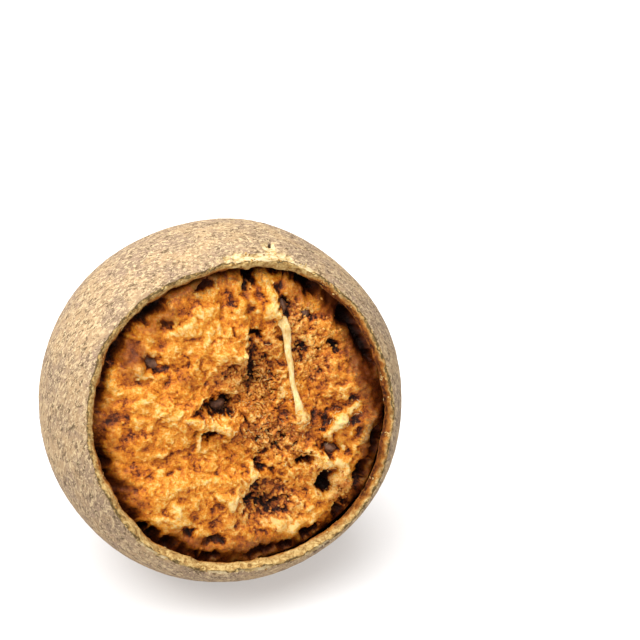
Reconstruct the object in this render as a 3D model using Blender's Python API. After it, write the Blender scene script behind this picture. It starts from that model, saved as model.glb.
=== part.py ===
"""Wood apple, opened: a round woody shell with its cap broken away, and the dried pulp inside it."""

from math import acos, atan2, ceil, cos, exp, hypot, pi, radians, sin, tan, tanh

import bmesh
import bpy
from mathutils import Matrix, Vector, noise

MM = 0.001

# Whole fruit
FRUIT_RADIUS = 38.0 * MM
LOBE_HEIGHT = 0.45 * MM
LOBE_SCALE = 1.7
REST_RADIUS = 11.2 * MM

# Opening, which faces -Y and a little up
OPENING_RISE = radians(20.3)
OPENING_ANGLE = radians(59.2)
# Swells and dips of the broken edge: place round the opening, half width, change, in degrees
RIM_WAVES = (
    (65, 12, 2.2),
    (13, 20, -4.5),
    (102, 8, -1.3),
    (143, 22, 1.6),
    (182, 8, 0.9),
    (228, 13, 2.6),
    (249, 8, 1.6),
    (268, 11, -2.5),
    (308, 15, 2.7),
    (341, 9, -2.3),
)
RIM_ROUGHNESS = radians(0.55)
RIM_GRAIN = 11.0

# Shell
WALL = 2.6 * MM
SHELL_COLUMNS = 72
OUTER_STEP = 4.3 * MM
INNER_STEP = 5.0 * MM
# Broken face of the wall: depth below the outside and how far the face stands back there
RIM_LOOPS = ((0.15 * MM, 0.35 * MM), (0.8 * MM, 0.05 * MM), (1.5 * MM, 0.0), (2.3 * MM, 0.45 * MM))

# Stem scar, opposite the opening
SCAR_RINGS = (1.5 * MM, 3.0 * MM, 3.8 * MM, 4.5 * MM, 5.2 * MM, 6.1 * MM, 6.9 * MM, 7.7 * MM, 9.5 * MM)
SCAR_RADIUS = 6.9 * MM
SCAR_GROOVE = 0.5 * MM
SCAR_GROOVE_WIDTH = 0.7 * MM
SCAR_SINK = 0.25 * MM
SCAR_PITS = 10
SCAR_PIT_RING = 4.5 * MM
SCAR_PIT_DEPTH = 0.6 * MM

# Pulp
PULP_SLACK = 0.5 * MM
PULP_SHRINKAGE = 0.45 * MM
FACE_LEVEL = 17.0 * MM
FACE_EDGE_DROP = radians(2.2)
FACE_ROUNDING = 1.1 * MM
# Angles from the opening's axis over which the torn face gives way to the round side
FACE_BLEND = (radians(62.0), radians(71.6))
# How far the pulp's edge dips below the face, in mm: everywhere, and more or less at places round the
# opening given as place and half width in degrees
EDGE_DIP = 1.3
EDGE_DIP_WIDTH = 2.4
EDGE_DIPS = (
    (32, 30, 2.4),
    (112, 28, -0.9),
    (195, 16, 0.8),
    (236, 24, 1.4),
    (330, 22, 1.4),
)
FACE_ANGLE = radians(60.5)
PULP_SUBDIVISIONS = 6
PULP_KEPT = 0.36
# Places where the pulp still holds to the shell: place round the opening and half width in degrees
PULP_TIES = ((78, 9), (358, 12), (112, 8), (205, 9))

# Hollows in the torn pulp, in mm and degrees: across, up, half length, half width, turn, depth
HOLLOWS = (
    (4.8, 7.0, 7.2, 4.6, 80, 2.2),
    (-17.0, 24.6, 4.2, 2.0, 30, 4.2),
    (-13.4, 21.6, 1.5, 1.1, 0, 2.0),
    (-24.6, 18.3, 4.4, 2.0, 60, 4.4),
    (-17.2, 13.4, 2.9, 1.6, -33, 1.9),
    (-3.7, 2.5, 3.4, 2.3, 5, 4.2),
    (-8.0, 2.7, 1.8, 1.3, 20, 1.9),
    (3.4, 9.2, 4.2, 1.4, 80, 2.0),
    (-1.5, 9.4, 2.0, 1.3, 10, 1.8),
    (5.0, 16.4, 1.5, 1.2, 0, 2.4),
    (11.6, 20.8, 2.6, 1.5, 88, 2.2),
    (15.7, 19.0, 1.7, 1.4, 0, 1.4),
    (13.8, 11.5, 2.6, 1.5, 75, 2.0),
    (4.9, 28.6, 2.6, 1.5, 68, 4.4),
    (-4.9, 28.0, 2.6, 0.9, 18, 2.4),
    (10.4, 30.2, 4.6, 1.5, -12, 4.4),
    (17.2, 25.8, 4.2, 2.0, -38, 5.2),
    (25.6, 16.0, 4.6, 1.9, -62, 5.0),
    (28.2, 9.0, 3.6, 1.4, -76, 4.2),
    (20.7, 12.2, 2.2, 1.0, -40, 2.0),
    (18.3, -10.2, 2.4, 1.8, -35, 2.4),
    (12.8, -11.2, 1.6, 1.2, 30, 2.6),
    (16.4, -17.2, 2.4, 1.7, 62, 4.6),
    (7.4, -6.5, 2.0, 1.4, 0, 1.8),
    (3.6, -8.2, 1.3, 1.0, 0, 1.2),
    (2.8, -11.2, 2.0, 1.0, 80, 1.8),
    (3.0, -17.8, 5.0, 3.8, 10, 2.8),
    (7.0, -21.7, 4.4, 2.6, -25, 1.4),
    (-7.2, -2.6, 1.8, 1.2, 0, 1.6),
    (-13.3, -22.5, 1.6, 1.0, 30, 1.8),
    (-8.8, -25.5, 2.8, 1.1, 0, 2.4),
    (-22.0, -21.2, 4.0, 1.3, -42, 3.0),
    (-16.6, -25.6, 3.2, 1.3, -30, 3.2),
    (-9.9, -28.4, 3.0, 1.1, -10, 3.0),
    (1.0, -29.0, 3.6, 1.1, 0, 3.0),
    (7.0, -28.7, 1.8, 1.0, 12, 2.8),
    (12.2, -27.0, 2.2, 1.1, 25, 3.0),
    (19.4, -23.2, 2.2, 1.1, 40, 3.0),
    (24.5, -16.6, 3.0, 1.3, 60, 3.6),
    (28.4, -10.2, 3.4, 1.3, 75, 4.0),
    (-30.0, -5.8, 5.0, 1.3, 88, 3.4),
    (-28.8, 10.6, 4.6, 1.2, 72, 3.2),
)

# Swellings and ridges of the pulp, in mm: from across, up, to across, up, half width, height
RIDGES = (
    (-9.0, 21.0, -4.0, 16.0, 7.0, 2.4),
    (-19.5, 5.0, -13.0, 1.6, 5.4, 2.4),
    (-16.0, -14.6, -9.0, -13.0, 6.2, 2.2),
    (15.0, 14.0, 21.0, 6.0, 4.6, 1.1),
    (22.0, 3.0, 27.0, 3.0, 3.8, 1.6),
    (-5.0, -20.0, -2.0, -24.0, 4.5, 1.0),
    (7.6, 29.4, 8.8, 20.5, 1.7, 2.6),
    (1.2, 28.6, 2.2, 21.0, 1.5, 1.8),
    (4.7, 27.0, 5.4, 21.5, 0.9, 1.3),
    (17.2, -7.0, 20.7, -3.9, 0.9, 1.7),
    (20.7, -3.9, 24.6, -1.2, 1.1, 1.4),
    (25.4, -8.4, 28.4, -3.4, 1.0, 1.8),
    (-10.6, 1.0, -2.4, -2.6, 1.0, 1.6),
    (-9.4, -0.6, -10.0, -5.4, 0.7, 1.4),
    (1.2, -11.0, 0.2, -13.0, 1.0, 1.0),
    (-14.5, 8.0, -9.8, 4.4, 1.3, 0.9),
    (4.0, -3.2, 11.0, -8.6, 1.4, 1.0),
    (12.1, -0.6, 12.4, -3.2, 1.5, 1.8),
    (13.6, -9.4, 16.6, -11.9, 1.0, 1.6),
    (16.6, -11.9, 20.8, -14.8, 1.6, 2.3),
    (7.6, 15.4, 8.2, 13.4, 1.5, 1.6),
    (18.6, -17.2, 21.6, -18.8, 1.5, 1.4),
    (-13.0, 27.2, -8.0, 28.4, 1.2, 1.0),
    (5.4, -25.0, 13.0, -23.6, 2.0, 1.4),
)
# Torn steps, in mm: from across, up, to across, up, how far the raised left side reaches, height; then how
# wide the step is and how far it fades past its ends
TEARS = (
    (-23.8, -6.4, -17.8, -5.9, 3.0, 0.8),
    (-17.8, -5.9, -11.6, -4.1, 3.0, 1.2),
    (-3.6, -18.6, 0.0, -15.2, 4.5, 1.5),
    (0.0, -15.2, 2.9, -13.2, 4.5, 1.5),
    (-23.2, 14.6, -20.6, 11.4, 2.2, 1.0),
    (-20.6, 11.4, -16.6, 10.2, 2.2, 1.1),
    (0.6, 7.6, 2.0, 12.4, 4.0, 1.4),
    (2.0, 12.4, 3.4, 17.4, 4.0, 1.5),
    (-11.0, -0.6, -2.8, -3.4, 2.4, 1.0),
    (9.4, 16.6, 9.6, 24.0, 3.5, 1.2),
    (5.0, -24.6, 12.4, -22.6, 4.0, 1.0),
    (21.8, -13.0, 24.8, -9.6, 3.0, 1.0),
    (14.0, -14.8, 15.4, -11.4, 3.0, 0.9),
    (-26.0, -17.6, -13.6, -21.6, 4.0, 1.0),
)
TEAR_EDGE = 0.5
TEAR_FADE = 1.1
# Rounded lobes of the pulp: size and height, and how the face rises to its edge
LUMPS = ((8.0 * MM, 0.9 * MM), (3.6 * MM, 0.45 * MM), (1.9 * MM, 0.18 * MM))
LUMP_ROUNDNESS = 2.5
LUMP_SINK = 0.6
FACE_STEEPNESS = 4


# Seeds showing in the pulp, in mm and degrees: across, up, length, width, turn, height over the pulp
SEEDS = (
    (-17.2, 13.5, 4.3, 2.4, -30, 0.35),
    (-3.9, 2.4, 3.4, 2.6, 10, 0.1),
    (11.6, 20.8, 3.6, 2.0, 86, 0.3),
    (15.8, 19.1, 2.5, 1.9, 70, 0.35),
    (18.4, -10.2, 3.4, 2.6, -38, 0.3),
)
SEED_SEGMENTS = 10
SEED_RINGS = 6
# Loose knobs of pulp, given as the seeds are
KNOBS = (
    (12.2, -2.0, 4.6, 4.0, 80, -0.7),
    (17.6, -12.8, 9.5, 3.2, -38, -0.2),
    (7.9, 14.6, 4.0, 3.0, 40, -0.4),
    (20.0, -18.0, 5.0, 4.2, -30, -0.8),
)
# Pale fibre that lies over the pulp, in mm: across, up and radius at each point
FIBRE = ((11.1, 17.6, 0.75), (10.8, 13.4, 0.62), (11.1, 9.6, 0.5), (11.4, 5.0, 0.42), (11.7, 0.6, 0.55))
FIBRE_SIDES = 8
FIBRE_LIFT = 0.7 * MM

SHELL_COLOUR = (0.56, 0.40, 0.25, 1.0)
PULP_COLOUR = (0.58, 0.21, 0.045, 1.0)

OUT = Vector((0.0, -cos(OPENING_RISE), sin(OPENING_RISE)))
ACROSS = Vector((1.0, 0.0, 0.0))
UP = OUT.cross(ACROSS)


def clear_scene():
    """Remove every object."""
    for item in list(bpy.data.objects):
        bpy.data.objects.remove(item, do_unlink=True)


def new_collection(name):
    """A collection linked to the scene."""
    group = bpy.data.collections.new(name)
    bpy.context.scene.collection.children.link(group)
    return group


def material(name, colour, roughness):
    """A Principled material."""
    mat = bpy.data.materials.new(name)
    mat.use_nodes = True
    shader = mat.node_tree.nodes["Principled BSDF"]
    shader.inputs["Base Color"].default_value = colour
    shader.inputs["Roughness"].default_value = roughness
    shader.inputs["Metallic"].default_value = 0.0
    return mat


def new_object(name, bm, group):
    """An object that holds the mesh, with its faces turned outward."""
    bmesh.ops.recalc_face_normals(bm, faces=bm.faces)
    mesh = bpy.data.meshes.new(name)
    bm.to_mesh(mesh)
    bm.free()
    item = bpy.data.objects.new(name, mesh)
    group.objects.link(item)
    return item


def apply_modifiers(item):
    """Replace the object's mesh with its evaluated one."""
    graph = bpy.context.evaluated_depsgraph_get()
    mesh = bpy.data.meshes.new_from_object(item.evaluated_get(graph))
    item.modifiers.clear()
    item.data = mesh


def shade_by_angle(item, limit):
    """Smooth shading with the edges sharper than the limit kept crisp."""
    bm = bmesh.new()
    bm.from_mesh(item.data)
    for face in bm.faces:
        face.smooth = True
    for edge in bm.edges:
        edge.smooth = edge.calc_face_angle(0.0) < limit
    bm.to_mesh(item.data)
    bm.free()


def bump(distance, width):
    """A smooth hill of height one."""
    return exp(-((distance / width) ** 2))


def turn_between(angle, centre):
    """Shortest turn from centre to angle, in radians."""
    return (angle - centre + pi) % (2 * pi) - pi


def polar(point):
    """Angle from the opening's axis, and place round it."""
    away = acos(max(-1.0, min(1.0, point.normalized().dot(OUT))))
    return away, atan2(point.dot(UP), point.dot(ACROSS)) % (2 * pi)


def direction(away, around):
    """Unit vector at an angle from the opening's axis and a place round it."""
    side = cos(around) * ACROSS + sin(around) * UP
    return cos(away) * OUT + sin(away) * side


def rim_angle(around):
    """Angle from the opening's axis to the broken edge."""
    angle = OPENING_ANGLE
    for place, width, change in RIM_WAVES:
        angle += radians(change) * bump(turn_between(around, radians(place)), radians(width))
    grain = noise.noise(RIM_GRAIN * direction(OPENING_ANGLE, around))
    return angle + RIM_ROUGHNESS * grain


def fruit_radius(towards):
    """Radius of the whole fruit, which is a gently lobed ball."""
    return FRUIT_RADIUS + LOBE_HEIGHT * noise.noise(LOBE_SCALE * towards + Vector((3.1, 0.4, 7.7)))


def scar_depth(away, around):
    """How far the stem scar sinks the outside."""
    reach = FRUIT_RADIUS * (pi - away)
    depth = SCAR_GROOVE * bump(reach - SCAR_RADIUS, SCAR_GROOVE_WIDTH)
    if reach < SCAR_RADIUS:
        depth = max(depth, SCAR_SINK)
    pit = abs(sin(0.5 * SCAR_PITS * around))
    return depth + SCAR_PIT_DEPTH * pit ** 4 * bump(reach - SCAR_PIT_RING, SCAR_GROOVE_WIDTH)


def shell_profile():
    """Half section of the shell from the outer pole over the rim to the inner pole, as angle and depth."""
    first = SCAR_RINGS[-1] / FRUIT_RADIUS
    outer = [(pi, 0.0)] + [(pi - reach / FRUIT_RADIUS, 0.0) for reach in SCAR_RINGS]
    steps = ceil((pi - first - OPENING_ANGLE) * FRUIT_RADIUS / OUTER_STEP)
    outer += [(pi - first - (pi - first - OPENING_ANGLE) * i / steps, 0.0) for i in range(1, steps)]
    rim = [(OPENING_ANGLE + back / FRUIT_RADIUS, depth) for depth, back in RIM_LOOPS]
    steps = ceil((pi - OPENING_ANGLE) * (FRUIT_RADIUS - WALL) / INNER_STEP)
    inner = [(OPENING_ANGLE + (pi - OPENING_ANGLE) * i / steps, WALL) for i in range(1, steps + 1)]
    return outer + rim + inner


def place_on_shell(point):
    """Move a point of the plain turned shell to the real, uneven one."""
    depth = FRUIT_RADIUS - point.length
    away, around = polar(point)
    away = pi - (pi - away) * (pi - rim_angle(around)) / (pi - OPENING_ANGLE)
    towards = direction(away, around)
    if depth < 0.5 * RIM_LOOPS[0][0]:
        depth += scar_depth(away, around)
    elif away < rim_angle(around) + 0.1:
        chips = Vector((depth / MM, 0.0, 0.0))
        away += RIM_ROUGHNESS * noise.noise(2 * RIM_GRAIN * towards + chips)
        towards = direction(away, around)
    return towards * (fruit_radius(towards) - depth)


def make_shell(group):
    """The woody shell: a cup turned round the opening's axis, then made uneven."""
    bm = bmesh.new()
    points = []
    for away, depth in shell_profile():
        points.append(bm.verts.new((FRUIT_RADIUS - depth) * direction(away, 0.0)))
    for start, end in zip(points, points[1:]):
        bm.edges.new((start, end))
    bmesh.ops.spin(
        bm,
        geom=bm.verts[:] + bm.edges[:],
        axis=OUT,
        cent=(0.0, 0.0, 0.0),
        angle=2 * pi,
        steps=SHELL_COLUMNS,
        use_merge=True,
    )
    bmesh.ops.remove_doubles(bm, verts=bm.verts, dist=0.001 * MM)
    bmesh.ops.triangulate(bm, faces=bm.faces)
    floor = -(FRUIT_RADIUS ** 2 - REST_RADIUS ** 2) ** 0.5
    for vert in bm.verts:
        vert.co = place_on_shell(vert.co)
        vert.co.z = max(vert.co.z, floor)
    return new_object("shell", bm, group)


def along_ridge(across, up, ridge):
    """Distance in mm from a place on the pulp to a ridge's line."""
    start = Vector(ridge[0:2])
    span = Vector(ridge[2:4]) - start
    place = Vector((across, up)) - start
    part = max(0.0, min(1.0, place.dot(span) / span.length_squared))
    return (place - part * span).length


def in_hollow(across, up, hollow):
    """How deep in a hollow a place on the pulp is, from 0 to 1."""
    turn = radians(hollow[4])
    x = (across - hollow[0]) * cos(turn) + (up - hollow[1]) * sin(turn)
    y = (up - hollow[1]) * cos(turn) - (across - hollow[0]) * sin(turn)
    return exp(-((x / hollow[2]) ** 2 + (y / hollow[3]) ** 2) ** 1.5)


def edge_dip(around):
    """How far the pulp's edge dips below the face, in mm."""
    depth = EDGE_DIP
    for place, width, change in EDGE_DIPS:
        depth += change * bump(turn_between(around, radians(place)), radians(width))
    return depth


def behind_tear(across, up, tear):
    """How much a torn step raises a place on the pulp, from 0 to 1."""
    start = Vector(tear[0:2])
    span = Vector(tear[2:4]) - start
    place = Vector((across, up)) - start
    part = place.dot(span) / span.length_squared
    off = (place.y * span.x - place.x * span.y) / span.length
    past = max(0.0, abs(part - 0.5) - 0.5) * span.length
    rise = 0.5 + 0.5 * tanh(off / TEAR_EDGE)
    return bump(past, TEAR_FADE) * rise * exp(-max(off, 0.0) / tear[4])


def face_level(across, up):
    """Height of the torn pulp over the fruit's centre, at a place given in mm."""
    around = atan2(up, across)
    edge = rim_angle(around) + FACE_EDGE_DROP
    limit = (FRUIT_RADIUS - WALL) * sin(edge) / MM
    rise = (FRUIT_RADIUS - WALL) * cos(edge) - FACE_LEVEL
    reach = hypot(across, up)
    level = FACE_LEVEL + rise * min(reach / limit, 1.2) ** FACE_STEEPNESS
    level -= edge_dip(around) * MM * bump(max(0.0, limit - reach), EDGE_DIP_WIDTH)
    for ridge in RIDGES:
        level += ridge[5] * MM * bump(along_ridge(across, up, ridge), ridge[4])
    for tear in TEARS:
        level += tear[5] * MM * behind_tear(across, up, tear)
    for hollow in HOLLOWS:
        level -= hollow[5] * MM * in_hollow(across, up, hollow)
    for size, height in LUMPS:
        grain = noise.noise(Vector((across, up, 0.0)) * MM / size)
        level += height * (LUMP_ROUNDNESS * abs(grain) - LUMP_SINK)
    return level


def face_point(across, up, lift):
    """Point on the torn pulp, at a place given in mm."""
    level = face_level(across, up) + lift
    return across * MM * ACROSS + up * MM * UP + level * OUT


def pulp_gap(away, around):
    """Gap between shell and pulp, which widens to the opening where the pulp has shrunk."""
    shrunk = PULP_SHRINKAGE * (1 + 0.6 * noise.noise(5.0 * direction(OPENING_ANGLE, around)))
    for place, width in PULP_TIES:
        shrunk *= 1 - 0.75 * bump(turn_between(around, radians(place)), radians(width))
    return PULP_SLACK + shrunk * bump(max(0.0, away - FACE_ANGLE), 0.45)


def smooth_least(first, second, blend):
    """The lesser of two lengths, rounded where they meet."""
    mix = max(0.0, min(1.0, 0.5 + 0.5 * (second - first) / blend))
    return second + (first - second) * mix - blend * mix * (1 - mix)


def pulp_point(away, around):
    """Point of the pulp's surface: on the torn face in front, and a gap inside the shell elsewhere."""
    towards = direction(away, around)
    side = fruit_radius(towards) - WALL - pulp_gap(away, around)
    if away > FACE_BLEND[1]:
        return side * towards
    reach = FACE_LEVEL * tan(away) / MM
    front = face_point(reach * cos(around), reach * sin(around), 0.0)
    turned = max(0.0, (away - FACE_BLEND[0]) / (FACE_BLEND[1] - FACE_BLEND[0]))
    heading = front.normalized().lerp(towards, turned).normalized()
    return smooth_least(side, front.length, FACE_ROUNDING) * heading


def add_grain(group, name, place):
    """A seed or a knob: an egg shape half sunk in the pulp."""
    across, up, length, width, turn, lift = place
    bm = bmesh.new()
    bmesh.ops.create_uvsphere(bm, u_segments=SEED_SEGMENTS, v_segments=SEED_RINGS, radius=0.5 * MM)
    bmesh.ops.scale(bm, vec=(width, 0.8 * width, length), verts=bm.verts)
    lying = cos(radians(turn)) * ACROSS + sin(radians(turn)) * UP
    frame = Matrix((lying.cross(OUT), OUT, lying)).transposed().to_4x4()
    frame.translation = face_point(across, up, lift * MM)
    bmesh.ops.transform(bm, matrix=frame, verts=bm.verts)
    return new_object(name, bm, group)


def add_fibre(group):
    """The fibre: a thin tapering cord drawn ring by ring along its points."""
    bm = bmesh.new()
    points = [face_point(across, up, FIBRE_LIFT) for across, up, radius in FIBRE]
    radii = [radius * MM for across, up, radius in FIBRE]
    frame = Matrix((ACROSS, OUT, UP)).transposed().to_4x4()
    bmesh.ops.create_circle(bm, segments=FIBRE_SIDES, radius=radii[0], cap_ends=False, matrix=frame)
    ring = bm.verts[:]
    bmesh.ops.translate(bm, vec=points[0], verts=ring)
    edges = bm.edges[:]
    for before, point, last, radius in zip(points, points[1:], radii, radii[1:]):
        made = bmesh.ops.extrude_edge_only(bm, edges=edges)["geom"]
        ring = [part for part in made if isinstance(part, bmesh.types.BMVert)]
        edges = [part for part in made if isinstance(part, bmesh.types.BMEdge)]
        bmesh.ops.translate(bm, vec=point - before, verts=ring)
        scale = Matrix.Translation(point) @ Matrix.Scale(radius / last, 4) @ Matrix.Translation(-point)
        bmesh.ops.transform(bm, matrix=scale, verts=ring)
    bmesh.ops.holes_fill(bm, edges=bm.edges, sides=FIBRE_SIDES)
    bmesh.ops.triangulate(bm, faces=bm.faces)
    return new_object("fibre", bm, group)


def spread(point):
    """Turn a point of the plain ball so that half of all points lie on the torn face."""
    away, around = polar(point)
    if away < 0.5 * pi:
        away *= FACE_ANGLE / (0.5 * pi)
    else:
        away = FACE_ANGLE + (away - 0.5 * pi) * (pi - FACE_ANGLE) / (0.5 * pi)
    return pulp_point(away, around)


def make_pulp(group, small):
    """The pulp: a ball that fills the shell, torn open in front, with its seeds fused in."""
    bm = bmesh.new()
    bmesh.ops.create_icosphere(bm, subdivisions=PULP_SUBDIVISIONS, radius=1.0)
    for vert in bm.verts:
        vert.co = spread(vert.co)
    pulp = new_object("pulp", bm, group)
    thin = pulp.modifiers.new("thin", "DECIMATE")
    thin.ratio = PULP_KEPT
    apply_modifiers(pulp)
    for number, place in enumerate(SEEDS):
        add_grain(small, f"seed_{number}", place)
    for number, place in enumerate(KNOBS):
        add_grain(small, f"knob_{number}", place)
    add_fibre(small)
    fuse = pulp.modifiers.new("fuse", "BOOLEAN")
    fuse.operation = "UNION"
    fuse.operand_type = "COLLECTION"
    fuse.collection = small
    fuse.solver = "EXACT"
    apply_modifiers(pulp)
    for item in list(small.objects):
        bpy.data.objects.remove(item, do_unlink=True)
    return pulp


def set_down(items):
    """Stand the fruit on the ground with its bounding box centred on the origin."""
    corners = [vert.co for item in items for vert in item.data.vertices]
    low = [min(corner[axis] for corner in corners) for axis in range(3)]
    high = [max(corner[axis] for corner in corners) for axis in range(3)]
    shift = Vector((-0.5 * (low[0] + high[0]), -0.5 * (low[1] + high[1]), -low[2]))
    for item in items:
        item.data.transform(Matrix.Translation(shift))


def main():
    """Build the fruit."""
    clear_scene()
    group = new_collection("wood_apple")
    small = new_collection("cutters")
    shell = make_shell(group)
    pulp = make_pulp(group, small)
    shell.data.materials.clear()
    shell.data.materials.append(material("shell", SHELL_COLOUR, 0.8))
    pulp.data.materials.clear()
    pulp.data.materials.append(material("pulp", PULP_COLOUR, 0.55))
    shade_by_angle(shell, radians(35))
    shade_by_angle(pulp, radians(50))
    set_down((shell, pulp))


main()
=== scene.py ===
"""Wood apple, opened: the finished look of the woody shell, the torn pulp, its seeds and its fibres."""

import math

import bmesh
import bpy
import numpy as np
from bpy.props import FloatProperty, FloatVectorProperty, IntProperty, PointerProperty
from bpy.types import Operator, Panel, PropertyGroup
from mathutils import Matrix, Vector, noise


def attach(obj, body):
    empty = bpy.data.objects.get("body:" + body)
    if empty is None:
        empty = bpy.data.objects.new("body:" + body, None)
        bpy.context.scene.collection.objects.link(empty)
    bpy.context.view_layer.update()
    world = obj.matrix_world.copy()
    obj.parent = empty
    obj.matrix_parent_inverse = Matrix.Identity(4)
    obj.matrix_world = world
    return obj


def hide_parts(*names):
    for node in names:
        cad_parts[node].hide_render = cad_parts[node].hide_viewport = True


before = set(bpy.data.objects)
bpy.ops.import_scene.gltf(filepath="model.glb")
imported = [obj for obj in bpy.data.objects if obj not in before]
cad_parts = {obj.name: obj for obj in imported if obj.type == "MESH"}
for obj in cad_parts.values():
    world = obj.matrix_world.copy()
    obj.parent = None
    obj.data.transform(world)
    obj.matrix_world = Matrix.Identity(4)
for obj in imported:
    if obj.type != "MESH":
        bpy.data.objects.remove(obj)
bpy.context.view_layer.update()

bl_info = {
    "name": "Opened Wood Apple",
    "version": (1, 0, 0),
    "blender": (4, 5, 0),
    "location": "3D View > Sidebar > Wood Apple",
    "description": "Builds an opened wood apple with its shell, torn pulp, seeds and fibres",
    "category": "Add Mesh",
}

MM = 0.001

# The fruit's form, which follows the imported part, in mm unless it is an angle
FRUIT_RADIUS = 38.0
WALL = 2.6
LOBE_HEIGHT = 0.45
LOBE_SCALE = 1.7
REST_RADIUS = 11.2
OPENING_RISE = math.radians(20.3)
OPENING_ANGLE = math.radians(59.2)
# How the broken edge wanders: place round the opening, half width and change of angle, in degrees
RIM_WAVES = (
    (65, 12, 2.2),
    (13, 20, -4.5),
    (102, 8, -1.3),
    (143, 22, 1.6),
    (182, 8, 0.9),
    (228, 13, 2.6),
    (249, 8, 1.6),
    (268, 11, -2.5),
    (308, 15, 2.7),
    (341, 9, -2.3),
)
RIM_ROUGHNESS = math.radians(0.55)
RIM_GRAIN = 11.0
FACE_LEVEL = 17.0
FACE_EDGE_DROP = math.radians(2.2)
FACE_ROUNDING = 1.1
# How far the pulp's edge dips below the face, in mm: everywhere, and more or less at places round the
# opening given as place and half width in degrees
EDGE_DIP = 1.3
EDGE_DIP_WIDTH = 2.4
EDGE_DIPS = (
    (32, 30, 2.4),
    (112, 28, -0.9),
    (200, 18, 1.8),
    (236, 24, 1.8),
    (330, 22, 0.3),
)
FACE_ANGLE = math.radians(60.5)
FACE_BLEND = (math.radians(62.0), math.radians(71.6))
# Gap between shell and pulp: everywhere, how much more at the edge, and where the two still cling, as place
# and half width in degrees
PULP_SLACK = 0.35
PULP_SHRINKAGE = 0.4
PULP_TIES = ((78, 9), (358, 12), (112, 8), (205, 9), (322, 9))
TIE_STRENGTH = 0.75
SHRUNK_RIM = 0.45
# The stem scar: its radius, the groove round it, how far it sinks, and the ring of pits in it
SCAR_RADIUS = 6.9
SCAR_GROOVE = 0.55
SCAR_SINK = 0.25
SCAR_PITS = 10
SCAR_PIT_RING = 4.5
SCAR_PIT_DEPTH = 0.75

OUT = Vector((0.0, -math.cos(OPENING_RISE), math.sin(OPENING_RISE)))
ACROSS = Vector((1.0, 0.0, 0.0))
UP = OUT.cross(ACROSS)
AXES = np.array((ACROSS, UP, OUT))
# Where the fruit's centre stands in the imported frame, in metres
FRUIT_CENTRE = (0.00004203, -0.00379826, 0.03631198)

# Hollows in the torn pulp, in mm and degrees: across, up, half length, half width, turn, depth
HOLLOWS = (
    (4.8, 7.0, 7.2, 4.6, 80, 2.2),
    (-17.0, 24.6, 4.2, 2.0, 30, 4.2),
    (-13.4, 21.6, 1.5, 1.1, 0, 2.0),
    (-24.6, 18.3, 4.4, 2.0, 60, 4.4),
    (-17.2, 13.4, 2.9, 1.6, -33, 1.9),
    (-3.7, 2.5, 3.4, 2.3, 5, 4.2),
    (-8.0, 2.7, 1.8, 1.3, 20, 1.9),
    (3.4, 9.2, 4.2, 1.4, 80, 2.0),
    (-1.5, 9.4, 2.0, 1.3, 10, 1.8),
    (5.0, 16.4, 1.5, 1.2, 0, 2.4),
    (11.6, 20.8, 2.6, 1.5, 88, 2.2),
    (15.7, 19.0, 1.7, 1.4, 0, 1.4),
    (13.8, 11.5, 2.6, 1.5, 75, 2.0),
    (4.9, 28.6, 2.6, 1.5, 68, 4.4),
    (-4.9, 28.0, 2.6, 0.9, 18, 2.4),
    (10.4, 30.2, 4.6, 1.5, -12, 4.4),
    (17.2, 25.8, 4.2, 2.0, -38, 5.2),
    (25.6, 16.0, 4.6, 1.9, -62, 5.0),
    (28.2, 9.0, 3.6, 1.4, -76, 4.2),
    (20.7, 12.2, 2.2, 1.0, -40, 2.0),
    (18.3, -10.2, 2.4, 1.8, -35, 2.4),
    (12.8, -11.2, 1.6, 1.2, 30, 2.6),
    (16.4, -17.2, 2.4, 1.7, 62, 4.6),
    (7.4, -6.5, 2.0, 1.4, 0, 1.8),
    (3.6, -8.2, 1.3, 1.0, 0, 1.2),
    (2.8, -11.2, 2.0, 1.0, 80, 1.8),
    (3.0, -17.8, 5.0, 3.8, 10, 2.8),
    (7.0, -21.7, 4.4, 2.6, -25, 1.4),
    (-7.2, -2.6, 1.8, 1.2, 0, 1.6),
    (-13.3, -22.5, 1.6, 1.0, 30, 1.8),
    (-8.8, -25.5, 2.8, 1.1, 0, 2.4),
    (-22.0, -21.2, 4.0, 1.3, -42, 3.0),
    (-16.6, -25.6, 3.2, 1.3, -30, 3.2),
    (-9.9, -28.4, 3.0, 1.1, -10, 3.0),
    (1.0, -29.0, 3.6, 1.1, 0, 3.0),
    (7.0, -28.7, 1.8, 1.0, 12, 2.8),
    (12.2, -27.0, 2.2, 1.1, 25, 3.0),
    (19.4, -23.2, 2.2, 1.1, 40, 3.0),
    (24.5, -16.6, 3.0, 1.3, 60, 3.6),
    (28.4, -10.2, 3.4, 1.3, 75, 4.0),
    (-30.0, -5.8, 5.0, 1.3, 88, 3.4),
    (-28.8, 10.6, 4.6, 1.2, 72, 3.2),
)
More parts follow.
